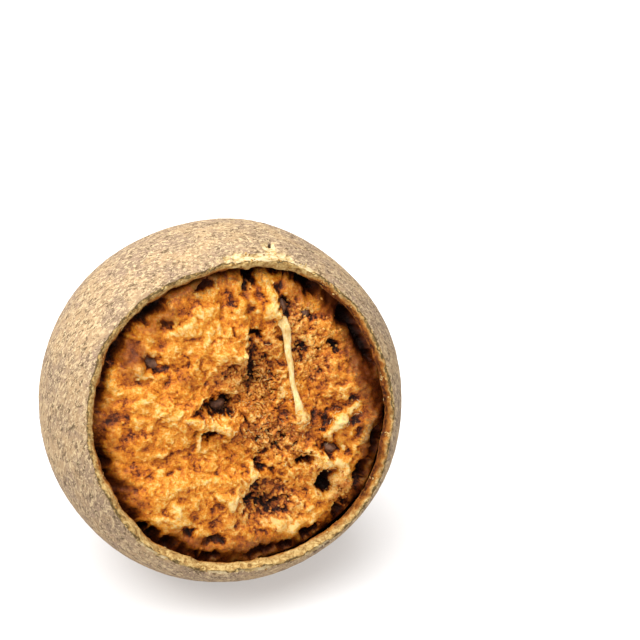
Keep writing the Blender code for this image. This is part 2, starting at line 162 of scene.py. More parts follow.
# Swellings and ridges of the pulp, in mm: from across, up, to across, up, half width, height
RIDGES = (
    (-9.0, 21.0, -4.0, 16.0, 7.0, 2.4),
    (-19.5, 5.0, -13.0, 1.6, 5.4, 2.4),
    (-16.0, -14.6, -9.0, -13.0, 6.2, 2.2),
    (15.0, 14.0, 21.0, 6.0, 4.6, 1.1),
    (22.0, 3.0, 27.0, 3.0, 3.8, 1.6),
    (-5.0, -20.0, -2.0, -24.0, 4.5, 1.0),
    (7.6, 29.4, 8.8, 20.5, 1.7, 2.6),
    (1.2, 28.6, 2.2, 21.0, 1.5, 1.8),
    (4.7, 27.0, 5.4, 21.5, 0.9, 1.3),
    (17.2, -7.0, 20.7, -3.9, 0.9, 1.7),
    (20.7, -3.9, 24.6, -1.2, 1.1, 1.4),
    (25.4, -8.4, 28.4, -3.4, 1.0, 1.8),
    (-10.6, 1.0, -2.4, -2.6, 1.0, 1.6),
    (-9.4, -0.6, -10.0, -5.4, 0.7, 1.4),
    (1.2, -11.0, 0.2, -13.0, 1.0, 1.0),
    (-14.5, 8.0, -9.8, 4.4, 1.3, 0.9),
    (4.0, -3.2, 11.0, -8.6, 1.4, 1.0),
    (12.1, -0.6, 12.4, -3.2, 1.5, 1.8),
    (13.6, -9.4, 16.6, -11.9, 1.0, 1.6),
    (16.6, -11.9, 20.8, -14.8, 1.6, 2.3),
    (7.6, 15.4, 8.2, 13.4, 1.5, 1.6),
    (18.6, -17.2, 21.6, -18.8, 1.5, 1.4),
    (-13.0, 27.2, -8.0, 28.4, 1.2, 1.0),
    (5.4, -25.0, 13.0, -23.6, 2.0, 1.4),
)
# Torn steps, in mm: from across, up, to across, up, how far the raised left side reaches, height; then how
# wide the step is and how far it fades past its ends
TEARS = (
    (-23.8, -6.4, -17.8, -5.9, 3.0, 0.8),
    (-17.8, -5.9, -11.6, -4.1, 3.0, 1.2),
    (-3.6, -18.6, 0.0, -15.2, 4.5, 1.5),
    (0.0, -15.2, 2.9, -13.2, 4.5, 1.5),
    (-23.2, 14.6, -20.6, 11.4, 2.2, 1.0),
    (-20.6, 11.4, -16.6, 10.2, 2.2, 1.1),
    (0.6, 7.6, 2.0, 12.4, 4.0, 1.4),
    (2.0, 12.4, 3.4, 17.4, 4.0, 1.5),
    (-11.0, -0.6, -2.8, -3.4, 2.4, 1.0),
    (9.4, 16.6, 9.6, 24.0, 3.5, 1.2),
    (5.0, -24.6, 12.4, -22.6, 4.0, 1.0),
    (21.8, -13.0, 24.8, -9.6, 3.0, 1.0),
    (14.0, -14.8, 15.4, -11.4, 3.0, 0.9),
    (-26.0, -17.6, -13.6, -21.6, 4.0, 1.0),
)
TEAR_EDGE = 0.3
TEAR_FADE = 1.1
# Rounded lobes of the pulp: size and height in mm, and how the face rises to its edge
LUMPS = ((8.0, 0.9), (3.6, 0.45), (1.9, 0.18))
LUMP_ROUNDNESS = 2.5
LUMP_SINK = 0.6
FACE_STEEPNESS = 4
# Seeds showing in the pulp, in mm and degrees: across, up, length, width, turn, height over the pulp
SEEDS = (
    (-17.2, 13.5, 4.3, 2.4, -30, 0.4),
    (-3.9, 2.4, 3.4, 2.6, 10, 0.1),
    (11.6, 20.8, 3.6, 2.0, 86, 0.4),
    (15.8, 19.1, 2.5, 1.9, 70, 0.5),
    (18.4, -10.2, 3.4, 2.6, -38, 0.4),
)
# Pale fibre that lies over the pulp, in mm: across, up, radius and height over the pulp at each point
FIBRE = (
    (9.8, 19.4, 0.9, -0.5),
    (10.9, 17.2, 0.95, 0.9),
    (11.2, 14.6, 0.75, 0.9),
    (10.9, 11.6, 0.62, 0.7),
    (11.3, 8.4, 0.52, 0.5),
    (11.2, 5.4, 0.46, 0.4),
    (11.7, 2.6, 0.55, 0.3),
    (11.9, 0.6, 0.75, 0.0),
    (12.1, -1.4, 0.9, -1.8),
)

# Camera, as the photo was taken
VIEW_AZIMUTH = math.radians(-15.4)
VIEW_ELEVATION = math.radians(32.0)
VIEW_DISTANCE = 0.90
FRAME_PIXELS = 640
PIXELS_PER_MM = 4.776
FRUIT_PIXEL = (219.5, 399.0)
SENSOR = 36.0
CAMERA_REACH = 20.0

# Floor and light
WORLD_STRENGTH = 0.4
FLOOR_WIDTH = 6.0
FLOOR_COLOUR = (0.45, 0.45, 0.45)
FLOOR_GLOW = 0.45
FLOOR_GLOW_COLOUR = (1.0, 0.96, 0.94)
KEY_OFFSET = Vector((-0.28, -0.02, 1.0))
KEY_WIDTH = 1.8
KEY_POWER = 50.0


class Perlin:
    """Gradient noise on arrays of points, the same every run."""

    def __init__(self, seed):
        rng = np.random.default_rng(seed)
        self.table = rng.permutation(256)
        grads = rng.normal(size=(256, 3))
        self.grads = grads / np.linalg.norm(grads, axis=1)[:, None]

    def __call__(self, points):
        cell = np.floor(points).astype(int)
        local = points - cell
        fade = local ** 3 * (local * (local * 6 - 15) + 10)
        total = np.zeros(len(points))
        for corner in range(8):
            step = np.array((corner & 1, corner >> 1 & 1, corner >> 2 & 1))
            place = (cell + step) & 255
            index = self.table[place[:, 0]]
            index = self.table[(index + place[:, 1]) & 255]
            index = self.table[(index + place[:, 2]) & 255]
            weight = np.prod(np.where(step == 1, fade, 1 - fade), axis=1)
            total += weight * np.einsum("ij,ij->i", self.grads[index], local - step)
        return total * 1.6

    def layered(self, points, octaves, gain=0.5):
        """Noise summed over octaves."""
        total, height = np.zeros(len(points)), 1.0
        for level in range(octaves):
            total += height * self(points * 2.03 ** level + 17.3 * level)
            height *= gain
        return total

    def ridged(self, points, octaves, sharpness=2.0, gain=0.5):
        """Sharp crests, summed over octaves, from 0 to about 1."""
        total, height, reach = np.zeros(len(points)), 1.0, 0.0
        for level in range(octaves):
            total += height * (1 - np.abs(self(points * 2.07 ** level + 9.1 * level))) ** sharpness
            reach += height
            height *= gain
        return total / reach


def bump(distance, width):
    """A smooth hill of height one."""
    return np.exp(-(distance / width) ** 2)


def ease(low, high, value):
    """0 below low, 1 above high, and smooth between."""
    part = np.clip((value - low) / (high - low), 0.0, 1.0)
    return part * part * (3 - 2 * part)


def turn_between(angle, centre):
    """Shortest turn from centre to angle, in radians."""
    return (angle - centre + math.pi) % (2 * math.pi) - math.pi


def plain_noise(points):
    """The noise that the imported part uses, at each point."""
    return np.array([noise.noise(Vector(point)) for point in points.tolist()])


def directions(away, around):
    """Unit vectors at angles from the opening's axis and places round it."""
    side = np.sin(away)
    local = np.stack((side * np.cos(around), side * np.sin(around), np.cos(away)), axis=1)
    return local @ AXES


def polar(points):
    """Angles from the opening's axis, and places round it."""
    local = points @ AXES.T
    away = np.arccos(np.clip(local[:, 2] / np.linalg.norm(local, axis=1), -1, 1))
    return away, np.arctan2(local[:, 1], local[:, 0]) % (2 * math.pi)


def rim_angle(around):
    """Angle from the opening's axis to the broken edge."""
    angle = np.full_like(around, OPENING_ANGLE)
    for place, width, change in RIM_WAVES:
        angle += math.radians(change) * bump(turn_between(around, math.radians(place)), math.radians(width))
    grain = plain_noise(RIM_GRAIN * directions(np.full_like(around, OPENING_ANGLE), around))
    return angle + RIM_ROUGHNESS * grain


def fruit_radius(towards):
    """Radius of the whole fruit, in mm."""
    return FRUIT_RADIUS + LOBE_HEIGHT * plain_noise(LOBE_SCALE * towards + np.array((3.1, 0.4, 7.7)))


def along_ridge(across, up, ridge):
    """Distance in mm from places on the pulp to a ridge's line."""
    span = np.array((ridge[2] - ridge[0], ridge[3] - ridge[1]))
    x, y = across - ridge[0], up - ridge[1]
    part = np.clip((x * span[0] + y * span[1]) / (span @ span), 0, 1)
    return np.hypot(x - part * span[0], y - part * span[1])


def in_hollow(across, up, hollow):
    """How deep in a hollow places on the pulp are, from 0 to 1."""
    turn = math.radians(hollow[4])
    x = (across - hollow[0]) * math.cos(turn) + (up - hollow[1]) * math.sin(turn)
    y = (up - hollow[1]) * math.cos(turn) - (across - hollow[0]) * math.sin(turn)
    return np.exp(-((x / hollow[2]) ** 2 + (y / hollow[3]) ** 2) ** 1.5)


def edge_dip(around):
    """How far the pulp's edge dips below the face, in mm."""
    depth = np.full_like(around, EDGE_DIP)
    for place, width, change in EDGE_DIPS:
        depth += change * bump(turn_between(around, math.radians(place)), math.radians(width))
    return depth


def behind_tear(across, up, tear):
    """How much a torn step raises places on the pulp, from 0 to 1."""
    span = np.array((tear[2] - tear[0], tear[3] - tear[1]))
    length = math.hypot(*span)
    x, y = across - tear[0], up - tear[1]
    part = (x * span[0] + y * span[1]) / length ** 2
    off = (y * span[0] - x * span[1]) / length
    past = np.maximum(0.0, np.abs(part - 0.5) - 0.5) * length
    rise = 0.5 + 0.5 * np.tanh(off / TEAR_EDGE)
    return bump(past, TEAR_FADE) * rise * np.exp(-np.maximum(off, 0.0) / tear[4])


def face_level(across, up):
    """Height of the torn pulp over the fruit's centre, in mm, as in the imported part."""
    around = np.arctan2(up, across)
    edge = rim_angle(around) + FACE_EDGE_DROP
    reach = np.hypot(across, up)
    limit = (FRUIT_RADIUS - WALL) * np.sin(edge)
    rise = (FRUIT_RADIUS - WALL) * np.cos(edge) - FACE_LEVEL
    level = FACE_LEVEL + rise * np.minimum(reach / limit, 1.2) ** FACE_STEEPNESS
    level -= edge_dip(around) * bump(np.maximum(0.0, limit - reach), EDGE_DIP_WIDTH)
    for ridge in RIDGES:
        level += ridge[5] * bump(along_ridge(across, up, ridge), ridge[4])
    for tear in TEARS:
        level += tear[5] * behind_tear(across, up, tear)
    for hollow in HOLLOWS:
        level -= hollow[5] * in_hollow(across, up, hollow)
    flat = np.stack((across, up, np.zeros_like(across)), axis=1)
    for size, height in LUMPS:
        level += height * (LUMP_ROUNDNESS * np.abs(plain_noise(flat / size)) - LUMP_SINK)
    return level


def pulp_gap(away, around):
    """Gap between shell and pulp, in mm."""
    rim = directions(np.full_like(around, OPENING_ANGLE), around)
    shrunk = PULP_SHRINKAGE * (1 + 0.6 * plain_noise(5.0 * rim))
    for place, width in PULP_TIES:
        shrunk *= 1 - TIE_STRENGTH * bump(turn_between(around, math.radians(place)), math.radians(width))
    return PULP_SLACK + shrunk * bump(np.maximum(0.0, away - FACE_ANGLE), SHRUNK_RIM)


def smooth_least(first, second, blend):
    """The lesser of two lengths, rounded where they meet."""
    mix = np.clip(0.5 + 0.5 * (second - first) / blend, 0, 1)
    return second + (first - second) * mix - blend * mix * (1 - mix)


# Where the bark is chipped off behind the edge: place round the opening and angle from its axis in
# degrees, half width round the opening and half depth back from the edge in mm
CHIPS = (
    (78.0, 60.6, 7.4, 2.1),
    (71.0, 62.4, 4.6, 1.6),
    (72.6, 67.0, 1.5, 3.0),
    (62.0, 61.0, 3.6, 0.8),
    (268.0, 57.0, 6.0, 0.7),
    (251.0, 59.5, 5.0, 0.7),
    (295.0, 60.2, 4.0, 0.6),
    (228.0, 61.5, 5.0, 0.5),
)
CHIP_DEPTH = 0.5
# The crack behind the chip: place and angle as for the chips, radius in mm
CRACK = (72.0, 70.4, 0.6)
CRACK_DEPTH = 1.1
# The shell's rings near its edge, how far behind the edge they are split, how far its torn form reaches,
# and the heights of the scurf outside and of the lining, in mm
FINE_STEP = 0.6
SPLIT_REACH = 3.6
TORN_REACH = 1.2
SCURF_HEIGHT = 0.06
LINING_HEIGHT = 0.15
# Share of the broken edge that is pale wood, at places round the opening in degrees
PALE_WOOD = (
    (0, 0.15), (30, 0.15), (52, 0.2), (64, 0.9), (86, 0.8), (93, 0.3), (103, 0.42), (118, 0.52), (138, 0.42),
    (152, 0.46), (166, 0.52), (178, 0.48), (190, 0.25), (203, 0.6), (215, 0.78), (235, 0.8), (262, 0.85),
    (290, 0.75), (305, 0.45), (320, 0.25), (342, 0.15),
)


def chipped(away, around, noise_field, towards):
    """How far the bark is chipped off, from 0 to 1."""
    mask = np.zeros_like(away)
    ragged = 0.45 * noise_field.layered(towards * 24, 3)
    for place, angle, width, depth in CHIPS:
        x = turn_between(around, math.radians(place)) * math.sin(math.radians(angle)) * FRUIT_RADIUS / width
        y = (away - math.radians(angle)) * FRUIT_RADIUS / depth
        mask = np.maximum(mask, 1.25 - np.hypot(x, y) + ragged)
    return ease(0.1, 0.45, mask)


def crack_form(away, around):
    """How near the crack places on the shell are, from 0 to 1."""
    place, angle, radius = CRACK
    x = turn_between(around, math.radians(place)) * math.sin(math.radians(angle)) * FRUIT_RADIUS
    y = (away - math.radians(angle)) * FRUIT_RADIUS
    return bump(np.hypot(x, 0.6 * y), radius)


def scar_form(away, around, grain):
    """How far the stem scar sinks the outside, in mm, and how much of the surface is scar, 0 to 1."""
    reach = FRUIT_RADIUS * (math.pi - away)
    wavy = reach + 0.25 * grain
    groove = SCAR_GROOVE * bump(wavy - SCAR_RADIUS, 0.45)
    disc = ease(SCAR_RADIUS, SCAR_RADIUS - 0.5, wavy)
    sector = np.abs(np.sin(0.5 * SCAR_PITS * around + 0.5 * grain))
    pits = SCAR_PIT_DEPTH * sector ** 4 * bump(wavy - SCAR_PIT_RING, 0.75)
    return groove + SCAR_SINK * disc + pits * disc, disc


def shell_profile(ring_step, fine_step):
    """Half section of the shell, as angles from the opening's axis and depths below the outside."""
    arc = (math.pi - OPENING_ANGLE) * FRUIT_RADIUS
    outside = np.arange(0.0, arc - 0.6 * fine_step, ring_step)
    outer = [(math.pi - reach / FRUIT_RADIUS, 0.0) for reach in outside]
    depths = np.concatenate(((0.08, 0.22, 0.4), np.linspace(0.65, WALL - 0.15, 7)))
    rim = [(OPENING_ANGLE, depth) for depth in depths]
    reaches, reach = [], 0.35
    while reach < (math.pi - OPENING_ANGLE) * (FRUIT_RADIUS - WALL):
        reaches.append(reach)
        reach += fine_step if reach < 8.0 else min(4.0, fine_step + 0.25 * (reach - 8.0))
    inner = [(OPENING_ANGLE + reach / (FRUIT_RADIUS - WALL), WALL) for reach in reaches]
    return outer + rim + inner + [(math.pi, WALL)]


def mesh_object(name, bm):
    """A new object at the origin that holds the mesh, smooth and facing outward."""
    bmesh.ops.recalc_face_normals(bm, faces=bm.faces)
    for face in bm.faces:
        face.smooth = True
    mesh = bpy.data.meshes.new(name)
    bm.to_mesh(mesh)
    bm.free()
    item = bpy.data.objects.new(name, mesh)
    bpy.context.scene.collection.objects.link(item)
    return item


def ordered(bm):
    """The same mesh with points and faces in an order that is the same on every run."""
    places = sorted(bm.verts, key=lambda vert: vert.co[:])
    for number, vert in enumerate(places):
        vert.index = number
    rings = []
    for face in bm.faces:
        ring = [vert.index for vert in face.verts]
        start = ring.index(min(ring))
        rings.append(ring[start:] + ring[:start])
    fixed = bmesh.new()
    points = [fixed.verts.new(vert.co) for vert in places]
    for ring in sorted(rings):
        fixed.faces.new([points[index] for index in ring])
    bm.free()
    return fixed


def read_points(mesh):
    """The mesh's points as an array."""
    points = np.empty(3 * len(mesh.vertices))
    mesh.vertices.foreach_get("co", points)
    return points.reshape(-1, 3)


def write_points(mesh, points):
    """Put the points back into the mesh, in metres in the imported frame."""
    mesh.vertices.foreach_set("co", (points * MM + np.array(FRUIT_CENTRE)).ravel())
    mesh.update()


def write_attribute(mesh, name, values):
    """A named number for each point of the mesh."""
    layer = mesh.attributes.new(name, "FLOAT", "POINT")
    layer.data.foreach_set("value", np.asarray(values, dtype=np.float32))


def build_shell(settings):
    """The shell: a fine cup turned round the opening's axis, torn at its edge and scurfy outside."""
    bm = bmesh.new()
    points = []
    for away, depth in shell_profile(settings.ring_step, FINE_STEP):
        spot = Vector((math.sin(away), 0.0, math.cos(away))) * (FRUIT_RADIUS - depth)
        points.append(bm.verts.new(spot[0] * ACROSS + spot[2] * OUT))
    for start, end in zip(points, points[1:]):
        bm.edges.new((start, end))
    bmesh.ops.spin(
        bm,
        geom=bm.verts[:] + bm.edges[:],
        axis=OUT,
        cent=(0.0, 0.0, 0.0),
        angle=2 * math.pi,
        steps=settings.columns,
        use_merge=True,
    )
    bmesh.ops.remove_doubles(bm, verts=bm.verts, dist=0.001)
    near = math.cos(OPENING_ANGLE + SPLIT_REACH / FRUIT_RADIUS) * FRUIT_RADIUS
    fine = [edge for edge in bm.edges if min(v.co.dot(OUT) for v in edge.verts) > near]
    bmesh.ops.subdivide_edges(bm, edges=fine, cuts=1, use_grid_fill=True)
    bmesh.ops.triangulate(bm, faces=bm.faces)
    item = mesh_object("woody_shell", ordered(bm))
    mesh = item.data
    plain = read_points(mesh)
    length = np.linalg.norm(plain, axis=1)
    depth = np.clip(FRUIT_RADIUS - length, 0.0, WALL)
    depth[depth < 0.04] = 0.0
    depth[depth > WALL - 0.04] = WALL
    away, around = polar(plain)
    rim = rim_angle(around)
    away = math.pi - (math.pi - away) * (math.pi - rim) / (math.pi - OPENING_ANGLE)
    behind = np.maximum(0.0, (away - rim) * FRUIT_RADIUS)
    towards = directions(away, around)
    grain, crumble = Perlin(11), Perlin(23)
    edge_line = directions(np.full_like(around, OPENING_ANGLE), around) * FRUIT_RADIUS
    layers = np.stack((depth, np.zeros_like(depth), np.zeros_like(depth)), axis=1)
    pale = np.interp(np.degrees(around), *np.array(PALE_WOOD).T, period=360)
    wave = 0.26 * crumble.layered(edge_line / 4.2, 2)
    flakes = 0.22 * crumble.layered(edge_line / 1.9 + layers * 1.6, 3)
    bark_back = 0.22 + 0.28 * np.abs(crumble(edge_line / 3.1 + 40)) + 0.12 * crumble(edge_line / 1.1 + 9)
    inner_back = 0.5 + 0.9 * crumble(edge_line / 3.4 + 71) + 0.3 * crumble(edge_line / 1.1 + 3)
    sloped = 0.9 * (1 - pale) * (depth / WALL) ** 1.3
    step = ease(0.6, 0.3, depth) * bark_back + 0.4 * (1 - np.minimum(depth / 0.5, 1.0)) ** 2
    step += ease(1.5, 2.5, depth) * np.maximum(inner_back, 0.0) + sloped
    chip = chipped(away, around, grain, towards) * ease(0.5, 0.3, depth)
    crack = crack_form(away, around) * ease(0.5, 0.3, depth)
    away = away + (step + wave + flakes) * np.exp(-behind / TORN_REACH) / FRUIT_RADIUS
    towards = directions(away, around)
    outside = ease(0.3, 0.0, depth)
    inside = ease(WALL - 0.3, WALL, depth)
    scurf = SCURF_HEIGHT * grain.layered(towards * FRUIT_RADIUS / 1.5, 3)
    scar, disc = scar_form(away, around, grain.layered(towards * 22, 2))
    lip = bump(behind, 0.5) * ease(0.4, 0.0, depth)
    fibres = 0.5 * crumble.layered(edge_line / 3.0 + np.outer(away, (60.0, 40.0, 20.0)), 2)
    sink = outside * (scar + scurf + 0.1 * lip) + CHIP_DEPTH * chip * (1 + fibres) + CRACK_DEPTH * crack
    sink += inside * (LINING_HEIGHT * grain.layered(towards * FRUIT_RADIUS / 2.4, 3))
    radius = fruit_radius(towards) - depth - sink
    final = towards * radius[:, None]
    floor = -(FRUIT_RADIUS ** 2 - REST_RADIUS ** 2) ** 0.5
    final[:, 2] = np.maximum(final[:, 2], floor)
    write_points(mesh, final)
    torn_edge = ease(0.3, 0.8, depth) * ease(2.2, 0.8, behind)
    numbers = {
        "depth": depth / WALL,
        "behind": behind,
        "reach": away * FRUIT_RADIUS,
        "pale": pale,
        "chip": chip,
        "crack": crack,
        "flaky": torn_edge * ease(0.0, 0.8, crumble(edge_line / 2.2 + 5)) + 0.4 * chip,
        "scar": disc * outside,
    }
    for name, values in numbers.items():
        write_attribute(mesh, name, values)
    return item


def smoothed(values, edges, steps):
    """Values averaged over a mesh's edges again and again."""
    count = np.bincount(edges.ravel(), minlength=len(values))
    for _ in range(steps):
        total = np.bincount(edges[:, 0], weights=values[edges[:, 1]], minlength=len(values))
        total += np.bincount(edges[:, 1], weights=values[edges[:, 0]], minlength=len(values))
        values = 0.5 * values + 0.5 * total / count
    return values


# Kinds of pulp, in mm and degrees: across, up, half length, half width, turn, strength
BROWN = (
    (3.6, 9.0, 5.8, 3.4, 80, 1.0),
    (-2.0, 8.6, 5.0, 2.2, 10, 0.8),
    (-4.6, 2.8, 4.6, 2.4, 10, 0.9),
    (7.6, 14.6, 2.6, 2.2, 40, 0.9),
    (13.2, 19.6, 3.8, 2.6, -30, 0.8),
    (13.6, 13.0, 2.4, 4.2, 0, 0.6),
    (6.0, -4.6, 6.4, 3.4, -25, 0.7),
    (15.4, -2.6, 3.2, 2.2, 0, 0.6),
    (2.8, -17.4, 5.2, 3.6, -5, 1.0),
    (5.0, -21.5, 6.0, 2.6, -15, 0.7),
    (-4.0, -22.6, 6.0, 2.4, 10, 0.5),
    (19.4, -18.4, 3.8, 2.8, -30, 1.0),
    (13.8, -6.2, 3.0, 2.0, 0, 0.4),
    (18.0, 6.4, 3.6, 3.0, 0, 0.4),
)
# Rust-red patches, partly the pulp's own colour and partly painted shade along the rim
RUST_AND_RIM_SHADE = (
    (-21.6, 16.0, 5.2, 3.4, -35, 1.0),
    (-15.0, 23.0, 5.4, 2.8, 35, 0.8),
    (-22.6, 12.2, 3.6, 1.6, -40, 0.7),
    (-28.0, 2.0, 2.6, 14.0, 0, 0.6),
    (-26.0, -12.0, 2.8, 8.0, 25, 0.7),
    (-14.0, -25.0, 8.0, 2.4, -25, 0.9),
    (-3.0, -26.6, 7.0, 2.2, 0, 0.6),
    (4.6, -15.8, 3.0, 2.4, 0, 0.8),
    (4.2, 23.0, 1.6, 6.0, -8, 0.5),
    (0.0, 26.6, 2.4, 3.0, 0, 0.4),
    (15.0, 24.0, 4.6, 2.4, -35, 0.8),
    (22.6, 18.6, 3.0, 6.0, 35, 1.0),
    (27.0, 8.0, 2.4, 8.0, 12, 0.9),
    (29.6, -4.0, 2.0, 9.0, 0, 0.7),
    (26.6, -12.0, 2.6, 5.0, -30, 0.6),
    (15.0, -25.0, 8.0, 2.2, 25, 0.5),
    (-10.8, 8.8, 2.6, 1.8, -20, 0.6),
    (9.4, -1.0, 1.6, 2.6, 0, 0.5),
)
# Paler patches, partly the pulp's own cream and partly painted highlight on its raised parts
BRIGHT = (
    (-6.6, 20.0, 8.6, 6.4, 10, 0.9),
    (-4.6, 13.6, 5.0, 3.4, -10, 0.8),
    (-16.0, 4.6, 7.6, 4.8, -10, 0.8),
    (-13.6, -2.0, 5.0, 2.6, 0, 0.7),
    (-12.0, -13.0, 8.0, 6.0, 20, 0.6),
    (-8.4, -14.2, 3.2, 2.6, 0, 1.0),
    (-2.4, -16.4, 4.0, 1.6, 45, 0.9),
    (8.0, 25.5, 1.8, 5.0, 0, 0.3),
    (1.8, 24.6, 1.6, 4.0, 0, 0.2),
    (23.4, 4.6, 4.0, 4.4, 0, 0.6),
    (19.0, 1.6, 5.0, 2.2, 35, 0.7),
    (18.8, -13.4, 3.6, 1.6, -38, 0.8),
    (12.2, -2.0, 1.9, 2.3, 0, 1.6),
    (-6.6, -0.8, 4.6, 1.1, -25, 1.3),
    (-9.7, -3.2, 0.8, 2.8, 0, 1.1),
    (21.0, -4.0, 5.2, 1.1, 38, 1.4),
    (26.8, -6.0, 3.6, 1.1, 57, 1.3),
    (0.8, -12.2, 1.0, 1.6, 20, 1.0),
    (-19.2, 10.9, 3.4, 0.6, -28, 1.2),
    (9.0, -23.6, 4.6, 1.4, 15, 0.7),
    (24.0, -11.0, 2.0, 1.4, 50, 0.6),
)
MEALY = (
    (17.0, 12.0, 7.0, 8.0, 0, 0.9),
    (14.0, 19.0, 5.0, 4.0, 0, 1.0),
    (4.0, 5.0, 6.6, 8.0, 0, 1.0),
    (6.0, -5.0, 8.0, 5.0, 0, 1.0),
    (20.0, 1.0, 5.0, 3.4, 0, 0.5),
    (12.0, -13.0, 5.0, 7.0, 0, 0.6),
    (4.0, -20.0, 9.0, 5.0, 0, 0.8),
    (20.0, -19.0, 4.0, 4.0, 0, 0.9),
)
STRINGY = (
    (10.4, 6.0, 4.0, 9.0, 0, 0.5),
    (12.0, -2.0, 3.0, 3.0, 0, 1.0),
    (7.0, -4.0, 7.0, 4.0, -30, 0.8),
    (-5.0, -1.0, 6.0, 2.6, -20, 0.8),
    (21.0, -4.5, 6.0, 3.0, 35, 0.9),
    (18.0, -16.0, 4.0, 3.0, 0, 0.5),
)


# Relief of the torn face, as size and height in mm and a shift of the noise: lobes where the flesh is smooth,
# lumps where it is mealy; then how wide the noise that frays every outline is, and how far it shifts one
SMOOTH_LOBES = ((6.0, 1.1, 20), (2.4, 0.25, 60))
MEALY_LUMPS = ((1.9, 1.1, 12), (0.95, 0.75, 5))
CREST_SIZE = 3.2
PIT_SIZE = 1.9
PIT_DEPTH = 0.9
LIP_HEIGHT = 0.55
WARP_SIZE = 3.0
WARP_REACH = 0.75
# How many times heights are averaged over the mesh, to tell hollows and creases from the rest: for the
# painted shade in them and the painted highlight on crests, and for where crumbs and threads lie
BROAD_STEPS = 260
LOCAL_STEPS = 24


def covered(regions, across, up):
    """How much of each kind of pulp lies at places on the face."""
    total = np.zeros_like(across)
    for region in regions:
        total = np.maximum(total, region[5] * in_hollow(across, up, region))
    return total


def pulp_heading(front, towards, away):
    """Unit vectors to the pulp's surface: to the torn face in front, from the centre elsewhere."""
    turned = np.clip((away - FACE_BLEND[0]) / (FACE_BLEND[1] - FACE_BLEND[0]), 0, 1)[:, None]
    heading = front / np.linalg.norm(front, axis=1)[:, None] * (1 - turned) + towards * turned
    return heading / np.linalg.norm(heading, axis=1)[:, None]


